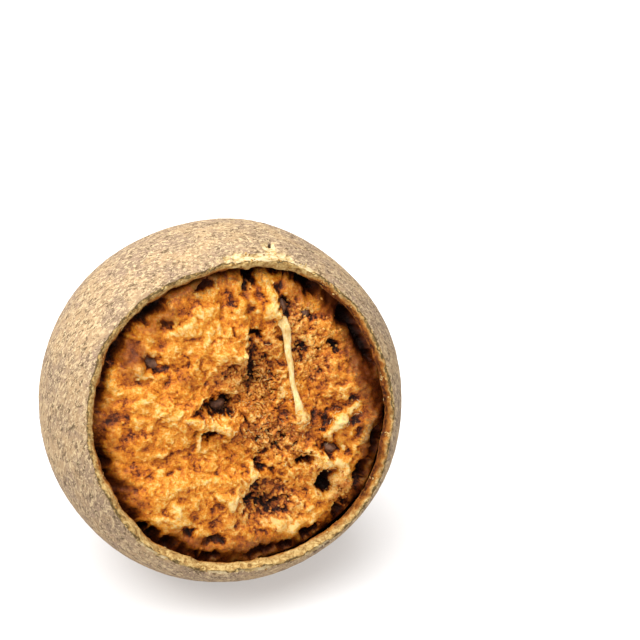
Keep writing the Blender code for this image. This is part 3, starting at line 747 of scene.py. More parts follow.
def build_pulp(settings):
    """The pulp: a ball that fills the shell, torn and craggy on its face."""
    bm = bmesh.new()
    bmesh.ops.create_icosphere(bm, subdivisions=6, radius=1.0)
    for _ in range(2):
        front = [edge for edge in bm.edges if min(v.co.dot(OUT) for v in edge.verts) > -0.02]
        bmesh.ops.subdivide_edges(bm, edges=front, cuts=1, use_grid_fill=False)
    bmesh.ops.triangulate(bm, faces=bm.faces)
    item = mesh_object("torn_pulp", bm)
    mesh = item.data
    away, around = polar(read_points(mesh))
    quarter = 0.5 * math.pi
    face = away * FACE_ANGLE / quarter
    back = FACE_ANGLE + (away - quarter) * (math.pi - FACE_ANGLE) / quarter
    away = np.where(away < quarter, face, back)
    towards = directions(away, around)
    reach = FACE_LEVEL * np.tan(np.minimum(away, 1.3))
    across, up = reach * np.cos(around), reach * np.sin(around)
    flat = np.stack((across, up, np.zeros_like(across)), axis=1)
    shape, fine, torn = Perlin(5), Perlin(8), Perlin(31)
    warp_x = WARP_REACH * shape.layered(flat / WARP_SIZE, 4, gain=0.6)
    warp_y = WARP_REACH * shape.layered(flat / WARP_SIZE + 51, 4, gain=0.6)
    level = face_level(across + warp_x, up + warp_y)
    mealy = np.clip(covered(MEALY, across + 2 * warp_x, up + 2 * warp_y), 0, 1)
    warped = flat + np.stack((warp_x, warp_y, np.zeros_like(warp_x)), axis=1) * 1.4
    lobes = sum(height * np.abs(shape(warped / size + shift)) for size, height, shift in SMOOTH_LOBES)
    lobes += 0.10 * fine.layered(warped / 0.9, 2) - 0.40
    crests = torn.ridged(warped / CREST_SIZE, 3, sharpness=4.0) - 0.35
    lumps = sum(height * np.abs(fine(warped / size + shift)) for size, height, shift in MEALY_LUMPS)
    lumps += 0.2 * fine.layered(warped / 0.5, 2) - 0.52
    pits = ease(0.40, 0.75, shape.layered(warped / PIT_SIZE + 77, 2))
    level += (1 - 0.75 * mealy) * (lobes + 0.5 * crests) + mealy * (lumps + 0.3 * crests)
    level -= PIT_DEPTH * pits * (0.3 + 0.7 * mealy)
    sunk = sum(hollow[5] * in_hollow(across + warp_x, up + warp_y, hollow) for hollow in HOLLOWS)
    level += 0.45 * np.minimum(sunk, 2.4) * ease(0.68, 0.92, torn.ridged(warped / 2.3 + 8, 2))
    lips = bump(sunk - 0.7, 0.45) * ease(-0.2, 0.5, shape.layered(warped / 2.2 + 33, 2))
    level += LIP_HEIGHT * lips
    side = fruit_radius(towards) - WALL - pulp_gap(away, around)
    side += 0.30 * ease(1.5, 1.2, away) * shape.layered(towards * 14, 3) - 0.1
    front = np.stack((across, up, level), axis=1) @ AXES
    radius = smooth_least(side, np.linalg.norm(front, axis=1), FACE_ROUNDING)
    radius = np.where(away > FACE_BLEND[1], side, radius)
    points = pulp_heading(front, towards, away) * radius[:, None]
    on_face = ease(1.20, 0.98, away)
    slide = np.stack((torn.layered(flat / 1.5 + 3, 2), torn.layered(flat / 1.5 + 60, 2)), axis=1)
    points += (on_face * (0.10 + 0.2 * mealy))[:, None] * (slide @ AXES[:2])
    edges = np.empty(2 * len(mesh.edges), dtype=np.int32)
    mesh.edges.foreach_get("vertices", edges)
    edges = edges.reshape(-1, 2)
    height = points @ AXES[2]
    broad = smoothed(height, edges, BROAD_STEPS)
    local = smoothed(height, edges, LOCAL_STEPS)
    write_points(mesh, points)
    wide_x, wide_y = across + 2.2 * warp_x, up + 2.2 * warp_y
    near_rim = away / (rim_angle(around) + FACE_EDGE_DROP)
    numbers = {
        # Painted shade darkens hollows and creases and painted highlight lightens rises and crests, by these
        # two
        "pit": np.clip(height - broad, -4, 4) * on_face,
        "crease": np.clip(height - local, -2, 2) * on_face,
        "brown": covered(BROWN, wide_x, wide_y),
        # Partly the pulp's own rust-red and partly painted shade along the rim
        "rust": covered(RUST_AND_RIM_SHADE, wide_x, wide_y),
        # Partly the pulp's own cream and partly painted highlight
        "bright": covered(BRIGHT, across + 0.9 * warp_x, up + 0.9 * warp_y),
        "mealy": mealy,
        # Lips round the hollows, lightened in the material as painted highlight
        "lip": lips * on_face,
        # Depth of the hollows, whose deepest parts are painted near black as shade
        "sunk": np.minimum(sunk, 6.0),
        "crumbly": mealy ** 2 * on_face * ease(-2.2, -0.4, height - broad),
        "stringy": covered(STRINGY, across, up) * on_face * ease(-1.6, 0.0, height - broad),
        # Rises towards the rim, where the pulp is painted darker as shade
        "edge": ease(0.84, 1.02, near_rim),
    }
    for name, values in numbers.items():
        write_attribute(mesh, name, values)
    return item


def face_spot(across, up, lift):
    """Point over the torn pulp, in mm from the fruit's centre."""
    level = face_level(np.array([across]), np.array([up]))[0] + lift
    return np.array((across, up, level)) @ AXES


SEED_SIDES = 64
SEED_RINGS = 48


def build_seeds():
    """The seeds: flattened, wrinkled egg shapes lying in their sockets."""
    bm = bmesh.new()
    skin = Perlin(47)
    for number, (across, up, length, width, turn, lift) in enumerate(SEEDS):
        made = bmesh.ops.create_uvsphere(bm, u_segments=SEED_SIDES, v_segments=SEED_RINGS, radius=0.5)
        turn = math.radians(turn)
        along = math.cos(turn) * AXES[0] + math.sin(turn) * AXES[1]
        beside = math.cos(turn) * AXES[1] - math.sin(turn) * AXES[0]
        spot = face_spot(across, up, lift)
        for vert in made["verts"]:
            x, y, z = vert.co
            taper = 1 - 0.35 * max(0.0, z * 2) ** 2 * (1 if number % 2 else 0.6)
            bend = 0.10 * width * (2 * z) ** 2
            local = np.array((x * width * taper + bend, 0.8 * y * width * taper, z * length))
            place = np.array([[x * 5, y * 5, z * 1.6 + 9 * number]])
            wrinkle = 0.10 * skin.layered(place, 2)[0] - 0.05 * abs(math.sin(5 * math.atan2(y, x)))
            local[:2] *= 1 + wrinkle
            vert.co = Vector(spot + local[0] * beside + local[1] * AXES[2] + local[2] * along)
    item = mesh_object("seeds", bm)
    write_points(item.data, read_points(item.data))
    return item


FIBRE_RINGS = 220
FIBRE_SIDES = 28


def build_fibre():
    """The pale fibre: a flattened cord over the pulp that frays into it at both ends."""
    grain = Perlin(61)
    keys = np.array([face_spot(across, up, lift) for across, up, radius, lift in FIBRE])
    radii = np.array([radius for across, up, radius, lift in FIBRE])
    stops = np.linspace(0, 1, len(FIBRE))
    parts = np.linspace(-0.04, 1.0, FIBRE_RINGS)
    bm = bmesh.new()
    frame_matrix = Matrix((ACROSS, OUT, UP)).transposed().to_4x4()
    bmesh.ops.create_circle(bm, segments=FIBRE_SIDES, radius=1.0, cap_ends=False, matrix=frame_matrix)
    edges = bm.edges[:]
    for _ in range(FIBRE_RINGS - 1):
        made = bmesh.ops.extrude_edge_only(bm, edges=edges)["geom"]
        edges = [part for part in made if isinstance(part, bmesh.types.BMEdge)]
    bmesh.ops.holes_fill(bm, edges=bm.edges, sides=FIBRE_SIDES)
    bm.verts.ensure_lookup_table()
    for ring, part in enumerate(parts):
        near = np.exp(-((part - stops) / 0.085) ** 2)
        middle = near @ keys / near.sum()
        size = np.interp(part, stops, radii)
        flare = 1 + 0.5 * math.exp(-(part / 0.08) ** 2)
        for side in range(FIBRE_SIDES):
            vert = bm.verts[ring * FIBRE_SIDES + side]
            across = vert.co.dot(ACROSS)
            out = vert.co.dot(OUT)
            angle = math.atan2(out, across)
            spot = np.array([[3.0 * math.cos(angle), 3.0 * math.sin(angle), 6 * part]])
            ripple = 1 + 0.16 * grain.layered(spot, 2)[0] + 0.05 * math.sin(9 * angle + 14 * part)
            offset = size * ripple * (1.05 * flare * across * AXES[0] + 0.75 * out * AXES[2])
            vert.co = Vector(middle + offset)
    item = mesh_object("pale_fibre", bm)
    write_points(item.data, read_points(item.data))
    return item


class Value:
    """A socket of a node tree that can be used in arithmetic."""

    def __init__(self, tree, socket):
        self.tree = tree
        self.socket = socket

    def math(self, operation, *others):
        inputs = dict(enumerate((self,) + others))
        return self.tree.node("ShaderNodeMath", inputs, {"operation": operation})

    def __add__(self, other):
        return self.math("ADD", other)

    def __sub__(self, other):
        return self.math("SUBTRACT", other)

    def __mul__(self, other):
        return self.math("MULTIPLY", other)

    def __truediv__(self, other):
        return self.math("DIVIDE", other)

    def __radd__(self, other):
        return self + other

    def __rmul__(self, other):
        return self * other

    def __rsub__(self, other):
        return (self * -1.0) + other

    def ease(self, low, high):
        """0 at low, 1 at high, and smooth between."""
        inputs = {"Value": self, "From Min": low, "From Max": high}
        return self.tree.node("ShaderNodeMapRange", inputs, {"interpolation_type": "SMOOTHSTEP"}, "Result")

    def bound(self, low=0.0, high=1.0):
        """Kept between two numbers."""
        return self.math("MAXIMUM", low).math("MINIMUM", high)


class Tree:
    """A node tree being built."""

    def __init__(self, nodes):
        self.nodes = nodes

    def node(self, kind, inputs, settings=None, output=0):
        """A node's output: its settings are set first, then its sockets are filled or linked."""
        node = self.nodes.nodes.new(kind)
        for name, item in (settings or {}).items():
            if name == "stops":
                fill_ramp(node.color_ramp.elements, item)
            else:
                setattr(node, name, item)
        for name, item in inputs.items():
            self.plug(node.inputs[name], item)
        if output is None:
            return node
        return Value(self, node.outputs[output])

    def plug(self, socket, item):
        """Link a value to a socket, or set the socket to a plain one."""
        if isinstance(item, Value):
            self.nodes.links.new(item.socket, socket)
        elif isinstance(item, tuple) and len(item) == 3 and socket.type == "RGBA":
            socket.default_value = (*item, 1.0)
        else:
            socket.default_value = item


def fill_ramp(points, stops):
    """Set a colour ramp to a list of places and colours."""
    while len(points) < len(stops):
        points.new(1.0)
    for point, (place, colour) in zip(points, stops):
        point.position = place
        point.color = (*colour, 1.0)


class Look(Tree):
    """A material being built round one Principled shader."""

    def __init__(self, name):
        self.material = bpy.data.materials.new(name)
        self.material.use_nodes = True
        super().__init__(self.material.node_tree)
        self.shader = self.nodes.nodes["Principled BSDF"]
        self.place = self.node("ShaderNodeTexCoord", {}, output="Object")

    def stretched(self, factors):
        """The object's coordinates, scaled along each axis."""
        return self.node("ShaderNodeMapping", {"Vector": self.place, "Scale": factors})

    def noise(self, size, detail=3.0, roughness=0.55, distortion=0.0, vector=None):
        """Noise with features of about a size in mm, from 0 to 1."""
        inputs = {
            "Vector": vector or self.place, "Scale": 1000.0 / size, "Detail": detail, "Roughness": roughness,
            "Distortion": distortion}
        return self.node("ShaderNodeTexNoise", inputs, output="Fac")

    def own(self, name):
        """A number that the mesh carries."""
        return self.node("ShaderNodeAttribute", {}, {"attribute_name": name}, "Fac")

    def mix(self, factor, first, second):
        """A colour between two."""
        return self.node("ShaderNodeMix", {0: factor, 6: first, 7: second}, {"data_type": "RGBA"}, 2)

    def ramp(self, factor, stops):
        """A colour from a list of places and colours."""
        return self.node("ShaderNodeValToRGB", {0: factor}, {"stops": stops})

    def relief(self, height, depth):
        """A bumped normal, with the depth in mm."""
        inputs = {"Height": height, "Distance": depth * MM, "Strength": 1.0}
        return self.node("ShaderNodeBump", inputs, output="Normal")

    def finish(self, inputs):
        """Set the shader's inputs and return the material."""
        for name, value in inputs.items():
            self.plug(self.shader.inputs[name], value)
        return self.material


def wear(item, material):
    """Give an object its only material."""
    item.data.materials.clear()
    item.data.materials.append(material)


# How far strewn shapes lean from lying flat, in radians
LEAN = 0.4


def scatter(name, host, chance, shape, material, density, sizes, seed):
    """Small shapes strewn over a host by Geometry Nodes, where its chance attribute is high."""
    group = bpy.data.node_groups.new(name, "GeometryNodeTree")
    tree = Tree(group)
    inputs = (
        ("Geometry", "NodeSocketGeometry", None), ("Density", "NodeSocketFloat", density),
        ("Smallest", "NodeSocketVector", sizes[0]), ("Largest", "NodeSocketVector", sizes[1]),
        ("Seed", "NodeSocketInt", seed), ("Material", "NodeSocketMaterial", material))
    names = [
        group.interface.new_socket(label, in_out="INPUT", socket_type=kind) for label, kind, item in inputs]
    group.interface.new_socket("Geometry", in_out="OUTPUT", socket_type="NodeSocketGeometry")
    entry = tree.node("NodeGroupInput", {}, output=None)
    given = {label: Value(tree, entry.outputs[label]) for label, kind, item in inputs}
    share = tree.node("GeometryNodeInputNamedAttribute", {"Name": chance}, {"data_type": "FLOAT"})
    spots = tree.node(
        "GeometryNodeDistributePointsOnFaces",
        {"Mesh": given["Geometry"], "Density": share * given["Density"], "Seed": given["Seed"]}, output=None)
    turn = tree.node(
        "FunctionNodeRandomValue",
        {0: (-LEAN, -LEAN, -math.pi), 1: (LEAN, LEAN, math.pi), "Seed": given["Seed"]},
        {"data_type": "FLOAT_VECTOR"})
    turn = tree.node(
        "FunctionNodeRotateRotation", {0: Value(tree, spots.outputs["Rotation"]), 1: turn},
        {"rotation_space": "LOCAL"})
    size = tree.node(
        "FunctionNodeRandomValue",
        {0: given["Smallest"], 1: given["Largest"], "Seed": given["Seed"] + 1.0},
        {"data_type": "FLOAT_VECTOR"})
    placed = tree.node(
        "GeometryNodeInstanceOnPoints",
        {"Points": Value(tree, spots.outputs["Points"]), "Instance": shape(tree), "Rotation": turn,
         "Scale": size})
    solid = tree.node("GeometryNodeRealizeInstances", {"Geometry": placed})
    solid = tree.node("GeometryNodeSetMaterial", {"Geometry": solid, "Material": given["Material"]})
    tree.node("NodeGroupOutput", {0: solid}, output=None)
    base = bpy.data.objects.new(name + "_base", host.data)
    bpy.context.scene.collection.objects.link(base)
    modifier = base.modifiers.new("strew", "NODES")
    modifier.node_group = group
    for socket, (label, kind, item) in zip(names, inputs):
        if item is not None:
            modifier[socket.identifier] = item
    graph = bpy.context.evaluated_depsgraph_get()
    mesh = bpy.data.meshes.new_from_object(base.evaluated_get(graph))
    base.modifiers.clear()
    bpy.data.objects.remove(base, do_unlink=True)
    item = bpy.data.objects.new(name, mesh)
    bpy.context.scene.collection.objects.link(item)
    wear(item, material)
    return item


def roughened(tree, form, vector, amount):
    """A shape with smooth shading whose points are moved by noise."""
    noise = tree.node("ShaderNodeTexNoise", {"Vector": vector, "Scale": 1.9, "Detail": 1.0}, output="Color")
    noise = tree.node("ShaderNodeVectorMath", {0: noise, 1: (-0.5, -0.5, -0.5)}, {"operation": "ADD"})
    offset = tree.node("ShaderNodeVectorMath", {0: noise, 1: amount}, {"operation": "MULTIPLY"})
    form = tree.node("GeometryNodeSetPosition", {"Geometry": form, "Offset": offset})
    return tree.node("GeometryNodeSetShadeSmooth", {"Geometry": form})


def crumb_shape(tree):
    """A crumb: a small uneven ball of 20 faces, about one unit wide."""
    ball = tree.node("GeometryNodeMeshIcoSphere", {"Radius": 0.5, "Subdivisions": 1})
    return roughened(tree, ball, tree.node("GeometryNodeInputPosition", {}), (0.9, 0.9, 0.9))


def thread_shape(tree):
    """A bent thread one unit long that lies along X."""
    rod = tree.node(
        "GeometryNodeMeshCylinder", {"Vertices": 3, "Side Segments": 6, "Radius": 0.5, "Depth": 1.0})
    rod = tree.node("GeometryNodeTransform", {"Geometry": rod, "Rotation": (0.0, 0.5 * math.pi, 0.0)})
    place = tree.node("GeometryNodeInputPosition", {})
    along = tree.node("ShaderNodeVectorMath", {0: place, 1: (1.0, 0.0, 0.0)}, {"operation": "MULTIPLY"})
    return roughened(tree, rod, along, (0.3, 8.0, 8.0))


def shell_material(settings):
    """Scurfy bark outside, pale wood on the broken edge, and a rusty lining within that is painted darker as
    shade the further it lies behind the edge.
    """
    look = Look("wood_apple_shell")
    depth, behind, pale = look.own("depth"), look.own("behind"), look.own("pale")
    axes = look.node("ShaderNodeSeparateXYZ", {"Vector": look.place}, output=None)
    east, north, rise = (Value(look, axes.outputs[axis]) * 0.8 for axis in ("X", "Y", "Z"))
    squeezed = rise + look.own("reach") * (0.6 * MM)
    along = look.node("ShaderNodeCombineXYZ", {"X": east, "Y": north, "Z": squeezed})
    grain = look.noise(0.8, 3.0, 0.7, 0.3, along)
    specks = look.noise(0.6, 2.0, 0.5, 0.4)
    streaks = look.noise(0.9, 5.0, 0.72, 1.0, along)
    patches = look.noise(9.0, 5.0, 0.65, 0.4)
    stains = look.noise(4.0, 5.0, 0.7)
    violet = look.noise(3.2, 4.0, 0.65, 0.5)
    bark = look.mix(patches.ease(0.40, 0.60), tuple(settings.bark_grey), tuple(settings.bark_tan))
    bark = look.mix(violet.ease(0.52, 0.64) * 0.35, bark, (0.26, 0.165, 0.12))
    bark = look.mix(stains.ease(0.54, 0.70) * 0.6, bark, (0.15, 0.10, 0.060))
    bark = look.mix(grain.ease(0.50, 0.62) * 0.9, bark, tuple(settings.bark_pale))
    bark = look.mix(streaks.ease(0.50, 0.38) * 0.9, bark, (0.080, 0.047, 0.021))
    bark = look.mix(specks.ease(0.58, 0.68) * 0.6, bark, (0.60, 0.47, 0.27))
    woody = look.noise(0.9, 4.0, 0.65, 0.6)
    wood = look.ramp(woody, (
        (0.32, (0.13, 0.065, 0.018)), (0.44, (0.31, 0.175, 0.052)), (0.56, (0.45, 0.30, 0.110)),
        (0.72, (0.60, 0.46, 0.21))))
    wander = (look.noise(1.6, 3.0, 0.6) - 0.5) * 0.85
    layer = depth + wander
    rusty = look.ramp(look.noise(1.3, 4.0, 0.65), (
        (0.30, (0.10, 0.022, 0.002)), (0.46, (0.27, 0.085, 0.007)), (0.62, (0.42, 0.17, 0.022))))
    wood = look.mix(((layer - pale) * 3.0).bound(), wood, rusty)
    dark = look.ramp(look.noise(1.0, 4.0, 0.7), (
        (0.40, (0.030, 0.007, 0.001)), (0.54, (0.13, 0.030, 0.003)), (0.66, (0.30, 0.095, 0.010))))
    wood = look.mix(((layer - pale - 0.22) * 3.0).bound() * (1.25 - pale).bound(), wood, dark)
    line = layer.ease(0.02, 0.08) * layer.ease(0.26, 0.12)
    wood = look.mix(line * 0.85, wood, (0.05, 0.032, 0.011))
    lining_grain = look.noise(1.8, 5.0, 0.65)
    # Painted shade: the lining goes from rust at the edge to near black the further it lies behind the edge
    deep = look.ramp(behind / 9.0 + (lining_grain - 0.5) * 0.9, (
        (0.0, (0.26, 0.085, 0.010)), (0.12, (0.15, 0.042, 0.005)), (0.30, (0.05, 0.012, 0.002)),
        (0.7, (0.012, 0.003, 0.001))))
    broken = look.mix(depth.ease(0.93, 0.985), wood, deep)
    outside = depth.ease(0.10, 0.03)
    chip = look.own("chip")
    chip_wood = look.ramp(look.noise(0.9, 4.0, 0.7, vector=look.stretched((0.5, 1.0, 1.0))), (
        (0.30, (0.15, 0.085, 0.03)), (0.42, (0.40, 0.27, 0.11)), (0.58, (0.58, 0.46, 0.27))))
    skin = look.mix((chip + (woody - 0.5) * 0.5).ease(0.3, 0.6), bark, chip_wood)
    skin = look.mix(look.own("crack").ease(0.35, 0.7), skin, (0.025, 0.012, 0.004))
    scar_colour = look.ramp(look.noise(1.0, 4.0, 0.65), (
        (0.35, (0.13, 0.07, 0.03)), (0.5, (0.31, 0.20, 0.085)), (0.7, (0.44, 0.33, 0.175))))
    skin = look.mix((look.own("scar") + (woody - 0.5) * 0.9).ease(0.25, 0.75), skin, scar_colour)
    colour = look.mix(outside, broken, skin)
    bark_height = grain * 0.7 + specks * 0.4 + streaks * 0.6 + stains * 0.4
    height = bark_height * outside + (woody * 1.1) * (1.0 - outside)
    return look.finish({
        "Base Color": colour, "Roughness": 0.82 - depth.ease(0.95, 1.0) * 0.3,
        "Normal": look.relief(height, settings.bark_relief), "Specular IOR Level": 0.2})


# How light sinks into the flesh
FLESH_DEPTH = {"Subsurface Weight": 0.2, "Subsurface Radius": (1.0, 0.3, 0.06), "Subsurface Scale": MM}


def pulp_material(settings):
    """Painted shade in rust to near black in the hollows, creases and near the rim, orange on the swellings,
    and cream as painted highlight on the torn crests and lips.
    """
    look = Look("wood_apple_pulp")
    pit, crease = look.own("pit"), look.own("crease")
    mealy = look.own("mealy")
    cloud = look.noise(4.6, 7.0, 0.68, 0.5, look.stretched((0.9, 1.0, 1.15)))
    fine = look.noise(0.7, 4.0, 0.7)
    threads = look.noise(1.5, 5.0, 0.72, 2.0, look.stretched((0.8, 1.0, 1.3)))
    # Painted shade darkens the hollows and creases, and painted highlight lightens the rises and crests
    tone = 0.50 + pit.bound(-4.0, 0.0) * 0.115 + pit.bound(0.0, 4.0) * 0.04
    tone = tone + crease.bound(-0.5, 0.35) * 0.60
    tone = tone + (cloud - 0.5) * 1.15 + (fine - 0.5) * 0.75 + (threads - 0.5) * 0.85
    pale_lines = (look.noise(1.7, 5.0, 0.62, 1.4) - 0.5).math("ABSOLUTE").ease(0.035, 0.0)
    dark_lines = (look.noise(1.3, 5.0, 0.62, 1.2) - 0.5).math("ABSOLUTE").ease(0.030, 0.0)
    tone = tone + pale_lines * 0.16 - dark_lines * 0.12
    # Painted highlight lightens the lips round the hollows and the bright patches, these partly the pulp's
    # own cream
    tone = tone + look.own("bright") * 0.16 + look.own("lip") * 0.20
    # Darker in the brown patches, which are the pulp's own colour, and in the rust patches and towards the
    # rim, which are partly painted shade
    tone = tone - look.own("brown") * 0.10 - look.own("rust") * 0.16 - look.own("edge") * 0.20
    flesh = look.ramp(tone.bound(), (
        (0.00, (0.006, 0.001, 0.0005)), (0.14, (0.045, 0.007, 0.001)), (0.28, (0.22, 0.042, 0.003)),
        (0.42, (0.42, 0.110, 0.005)), (0.56, (0.54, 0.172, 0.008)), (0.68, (0.61, 0.245, 0.022)),
        (0.80, (0.66, 0.345, 0.062)), (0.95, (0.70, 0.50, 0.20))))
    dull = look.ramp(tone.bound(), (
        (0.00, (0.008, 0.002, 0.001)), (0.15, (0.055, 0.012, 0.003)), (0.32, (0.25, 0.062, 0.014)),
        (0.48, (0.43, 0.125, 0.014)), (0.64, (0.54, 0.215, 0.036)), (0.86, (0.65, 0.40, 0.13))))
    rusty = look.ramp(cloud * 0.6 + fine * 0.4, (
        (0.36, (0.05, 0.010, 0.002)), (0.50, (0.17, 0.036, 0.004)), (0.62, (0.34, 0.085, 0.008))))
    flesh = look.mix((look.own("rust") * 1.1 + (threads - 0.5) * 1.2 - 0.25).bound(), flesh, rusty)
    colour = look.mix((mealy * 0.5 + look.own("brown") * 0.6 - look.own("rust") * 0.4).bound(), flesh, dull)
    # Painted shade: the pulp is darkened towards the rim and a dark red band is painted in the gap against
    # the shell
    rim_gap_shade = (look.own("edge") + (threads - 0.5) * 1.1).ease(0.62, 0.95)
    colour = look.mix(rim_gap_shade * 0.8, colour, (0.085, 0.014, 0.001))
    # Painted shade: the deepest hollows are painted near black
    colour = look.mix(look.own("sunk").ease(2.3, 4.0) * 0.92, colour, (0.012, 0.003, 0.001))
    height = fine * 0.6 + threads * 0.6 + look.noise(0.4, 3.0, 0.6) * 0.25
    return look.finish({
        "Base Color": colour, "Roughness": 0.45 + mealy * 0.25 + (fine - 0.5) * 0.3,
        "Normal": look.relief(height, settings.pulp_relief), "Specular IOR Level": 0.18, **FLESH_DEPTH})


def seed_material():
    """Dark, glossy and faintly ribbed seeds."""
    look = Look("wood_apple_seed")
    ribs = look.noise(0.6, 4.0, 0.6, 0.8)
    tone = look.ramp(look.noise(1.2, 4.0, 0.6), (
        (0.30, (0.050, 0.020, 0.010)), (0.50, (0.13, 0.055, 0.028)), (0.68, (0.25, 0.125, 0.070))))
    colour = look.mix(ribs.ease(0.55, 0.75) * 0.5, tone, (0.20, 0.11, 0.06))
    return look.finish({
        "Base Color": colour, "Roughness": 0.28 + ribs * 0.2, "Normal": look.relief(ribs, 0.12),
        "Specular IOR Level": 0.35})


def fibre_material():
    """Cream fibre with fine threads along it."""
    look = Look("wood_apple_fibre")
    threads = look.noise(0.35, 4.0, 0.6, vector=look.stretched((1.0, 1.0, 0.12)))
    stain = look.noise(1.6, 4.0, 0.6)
    colour = look.ramp(threads * 0.5 + stain * 0.5, (
        (0.32, (0.50, 0.22, 0.035)), (0.45, (0.64, 0.42, 0.14)), (0.58, (0.72, 0.57, 0.29))))
    return look.finish({
        "Base Color": colour, "Roughness": 0.45, "Normal": look.relief(threads, 0.15),
        "Specular IOR Level": 0.25, "Subsurface Weight": 0.3, "Subsurface Radius": (1.0, 0.5, 0.2),
        "Subsurface Scale": MM})


def crumb_material():
    """Mealy crumbs from rust to cream."""
    look = Look("wood_apple_crumbs")
    tone = look.noise(1.3, 4.0, 0.7) + (look.noise(0.4, 2.0, 0.6) - 0.5) * 0.4
    colour = look.ramp(tone, (
        (0.34, (0.24, 0.055, 0.008)), (0.46, (0.42, 0.135, 0.018)), (0.58, (0.55, 0.24, 0.045)),
        (0.72, (0.64, 0.42, 0.15))))
    return look.finish({
        "Base Color": colour, "Roughness": 0.5, "Specular IOR Level": 0.2, **FLESH_DEPTH})


def flake_material():
    """Splinters of pale wood and bits of rusty lining."""
    look = Look("wood_apple_flakes")
    colour = look.ramp(look.noise(1.6, 4.0, 0.7), (
        (0.36, (0.17, 0.060, 0.008)), (0.48, (0.38, 0.20, 0.045)), (0.58, (0.56, 0.39, 0.15)),
        (0.70, (0.64, 0.52, 0.28))))
    return look.finish({"Base Color": colour, "Roughness": 0.75, "Specular IOR Level": 0.2})


def build_stage():
    """Pale floor, soft studio light and the camera."""
    bpy.context.scene.view_settings.view_transform = "Standard"
    world = bpy.data.worlds.new("studio")
    world.use_nodes = True
    world.node_tree.nodes["Background"].inputs["Color"].default_value = (1.0, 1.0, 1.0, 1.0)
    world.node_tree.nodes["Background"].inputs["Strength"].default_value = WORLD_STRENGTH
    bpy.context.scene.world = world
    bpy.ops.mesh.primitive_plane_add(size=FLOOR_WIDTH, location=(0.0, 0.0, 0.0))
    floor = bpy.context.object
    floor.name = "floor"
    wear(floor, Look("floor_paper").finish({
        "Base Color": FLOOR_COLOUR, "Roughness": 0.9, "Specular IOR Level": 0.1,
        "Emission Color": FLOOR_GLOW_COLOUR, "Emission Strength": FLOOR_GLOW}))
    right = Vector((math.cos(VIEW_AZIMUTH), math.sin(VIEW_AZIMUTH), 0.0))
    toward = Vector((
        math.sin(VIEW_AZIMUTH) * math.cos(VIEW_ELEVATION),
        -math.cos(VIEW_AZIMUTH) * math.cos(VIEW_ELEVATION),
        math.sin(VIEW_ELEVATION)))
    up = toward.cross(right)
    target = Vector(FRUIT_CENTRE)
    target += right * (0.5 * FRAME_PIXELS - FRUIT_PIXEL[0]) / PIXELS_PER_MM * MM
    target -= up * (0.5 * FRAME_PIXELS - FRUIT_PIXEL[1]) / PIXELS_PER_MM * MM
    data = bpy.data.cameras.new("camera")
    data.sensor_width = SENSOR
    data.lens = SENSOR * VIEW_DISTANCE / (FRAME_PIXELS / PIXELS_PER_MM * MM)
    data.clip_end = CAMERA_REACH
    camera = bpy.data.objects.new("camera", data)
    bpy.context.scene.collection.objects.link(camera)
    camera.location = Vector(FRUIT_CENTRE) + toward * VIEW_DISTANCE
    camera.rotation_euler = (camera.location - target).to_track_quat("Z", "Y").to_euler()
    bpy.context.scene.camera = camera
    add_light("key", KEY_OFFSET, KEY_WIDTH, KEY_POWER)


def add_light(name, offset, size, power):
    """A square soft light that shines on the fruit."""
    data = bpy.data.lights.new(name, "AREA")
    data.size = size
    data.energy = power
    light = bpy.data.objects.new(name, data)
    bpy.context.scene.collection.objects.link(light)
    light.location = Vector(FRUIT_CENTRE) + offset
    light.rotation_euler = offset.to_track_quat("Z", "Y").to_euler()


class WoodAppleSettings(PropertyGroup):
    """Sizes and colours of the fruit's finish."""

    columns: IntProperty(
        name="Shell Columns", description="Columns of faces round the shell", default=360, min=60, max=420)
    ring_step: FloatProperty(
        name="Ring Step", description="Distance in mm between the shell's rings of faces", default=0.68,
        min=0.5, max=5.0)
    bark_relief: FloatProperty(
        name="Bark Relief", description="Height of the bark's grain in mm", default=0.22, min=0.0, max=1.0)
    pulp_relief: FloatProperty(
        name="Pulp Relief", description="Height of the pulp's finest grain in mm", default=0.25, min=0.0,
        max=1.0)
    crumbs: FloatProperty(
        name="Crumbs", description="Crumbs on a square mm of mealy pulp", default=0.8, min=0.0, max=6.0)
    threads: FloatProperty(
        name="Threads", description="Threads on a square mm of stringy pulp", default=0.5, min=0.0, max=4.0)
    flakes: FloatProperty(
        name="Flakes", description="Flakes on a square mm of the broken edge", default=1.6, min=0.0, max=6.0)
    bark_tan: FloatVectorProperty(
        name="Bark Tan", description="Main colour of the bark", subtype="COLOR", size=3,
        default=(0.34, 0.225, 0.118), min=0.0, max=1.0)
    bark_grey: FloatVectorProperty(
        name="Bark Grey", description="Colour of the bark's greyer patches", subtype="COLOR", size=3,
        default=(0.245, 0.165, 0.103), min=0.0, max=1.0)
    bark_pale: FloatVectorProperty(
        name="Bark Pale", description="Colour of the bark's pale scurf", subtype="COLOR", size=3,
        default=(0.49, 0.36, 0.205), min=0.0, max=1.0)


class WOODAPPLE_OT_shell(Operator):
    """Add the shell"""

    bl_idname = "wood_apple.shell"
    bl_label = "Add Shell"

    def execute(self, context):
        settings = context.scene.wood_apple
        item = build_shell(settings)
        wear(item, shell_material(settings))
        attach(item, "root")
        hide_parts("shell")
        return {"FINISHED"}


class WOODAPPLE_OT_pulp(Operator):
    """Add the torn pulp"""

    bl_idname = "wood_apple.pulp"
    bl_label = "Add Pulp"

    def execute(self, context):
        settings = context.scene.wood_apple
        item = build_pulp(settings)
        wear(item, pulp_material(settings))
        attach(item, "root")
        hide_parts("pulp")
        return {"FINISHED"}


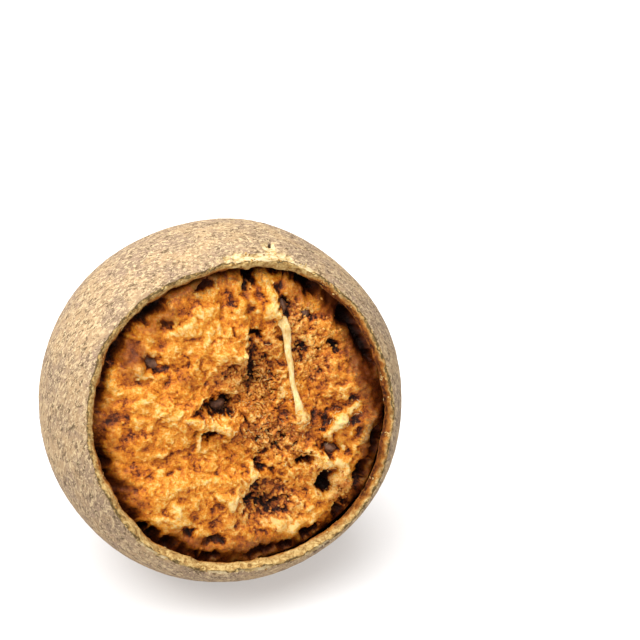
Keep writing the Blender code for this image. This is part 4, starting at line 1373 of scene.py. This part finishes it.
class WOODAPPLE_OT_seeds(Operator):
    """Add the seeds and the pale fibre"""

    bl_idname = "wood_apple.seeds"
    bl_label = "Add Seeds And Fibre"

    def execute(self, context):
        for build, material in ((build_seeds, seed_material()), (build_fibre, fibre_material())):
            item = build()
            wear(item, material)
            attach(item, "root")
        return {"FINISHED"}


class WOODAPPLE_OT_crumbs(Operator):
    """Strew crumbs and threads over the pulp and flakes along the broken edge"""

    bl_idname = "wood_apple.crumbs"
    bl_label = "Add Crumbs And Flakes"

    def execute(self, context):
        settings = context.scene.wood_apple
        pulp, shell = bpy.data.objects.get("torn_pulp"), bpy.data.objects.get("woody_shell")
        if pulp is None or shell is None:
            raise RuntimeError("The shell and the pulp come first")
        strewn = (
            ("pulp_crumbs", pulp, "crumbly", crumb_shape, crumb_material(), settings.crumbs,
             ((0.35, 0.35, 0.25), (1.2, 1.0, 0.7)), 4),
            ("pulp_threads", pulp, "stringy", thread_shape, fibre_material(), settings.threads,
             ((0.8, 0.11, 0.11), (1.9, 0.20, 0.20)), 7),
            ("edge_flakes", shell, "flaky", crumb_shape, flake_material(), settings.flakes,
             ((0.25, 0.2, 0.12), (0.9, 0.5, 0.3)), 9),
        )
        for name, host, chance, shape, material, density, sizes, seed in strewn:
            sizes = [tuple(MM * side for side in size) for size in sizes]
            item = scatter(name, host, chance, shape, material, density / MM ** 2, sizes, seed)
            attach(item, "root")
        return {"FINISHED"}


class WOODAPPLE_OT_stage(Operator):
    """Add the floor, the light and the camera"""

    bl_idname = "wood_apple.stage"
    bl_label = "Add Stage"

    def execute(self, context):
        build_stage()
        return {"FINISHED"}


class WOODAPPLE_PT_panel(Panel):
    """The wood apple's settings and steps"""

    bl_idname = "WOODAPPLE_PT_panel"
    bl_label = "Wood Apple"
    bl_space_type = "VIEW_3D"
    bl_region_type = "UI"
    bl_category = "Wood Apple"

    def draw(self, context):
        layout = self.layout
        settings = context.scene.wood_apple
        for name in WoodAppleSettings.__annotations__:
            layout.prop(settings, name)
        for step in STEPS:
            layout.operator(step.bl_idname)


STEPS = (
    WOODAPPLE_OT_stage, WOODAPPLE_OT_shell, WOODAPPLE_OT_pulp, WOODAPPLE_OT_seeds, WOODAPPLE_OT_crumbs)
CLASSES = (WoodAppleSettings,) + STEPS + (WOODAPPLE_PT_panel,)


def register():
    for item in CLASSES:
        bpy.utils.register_class(item)
    bpy.types.Scene.wood_apple = PointerProperty(type=WoodAppleSettings)


def unregister():
    del bpy.types.Scene.wood_apple
    for item in reversed(CLASSES):
        bpy.utils.unregister_class(item)


def main():
    """Build the whole fruit."""
    register()
    for step in STEPS:
        group, name = step.bl_idname.split(".")
        getattr(getattr(bpy.ops, group), name)()


if __name__ == "__main__":
    main()
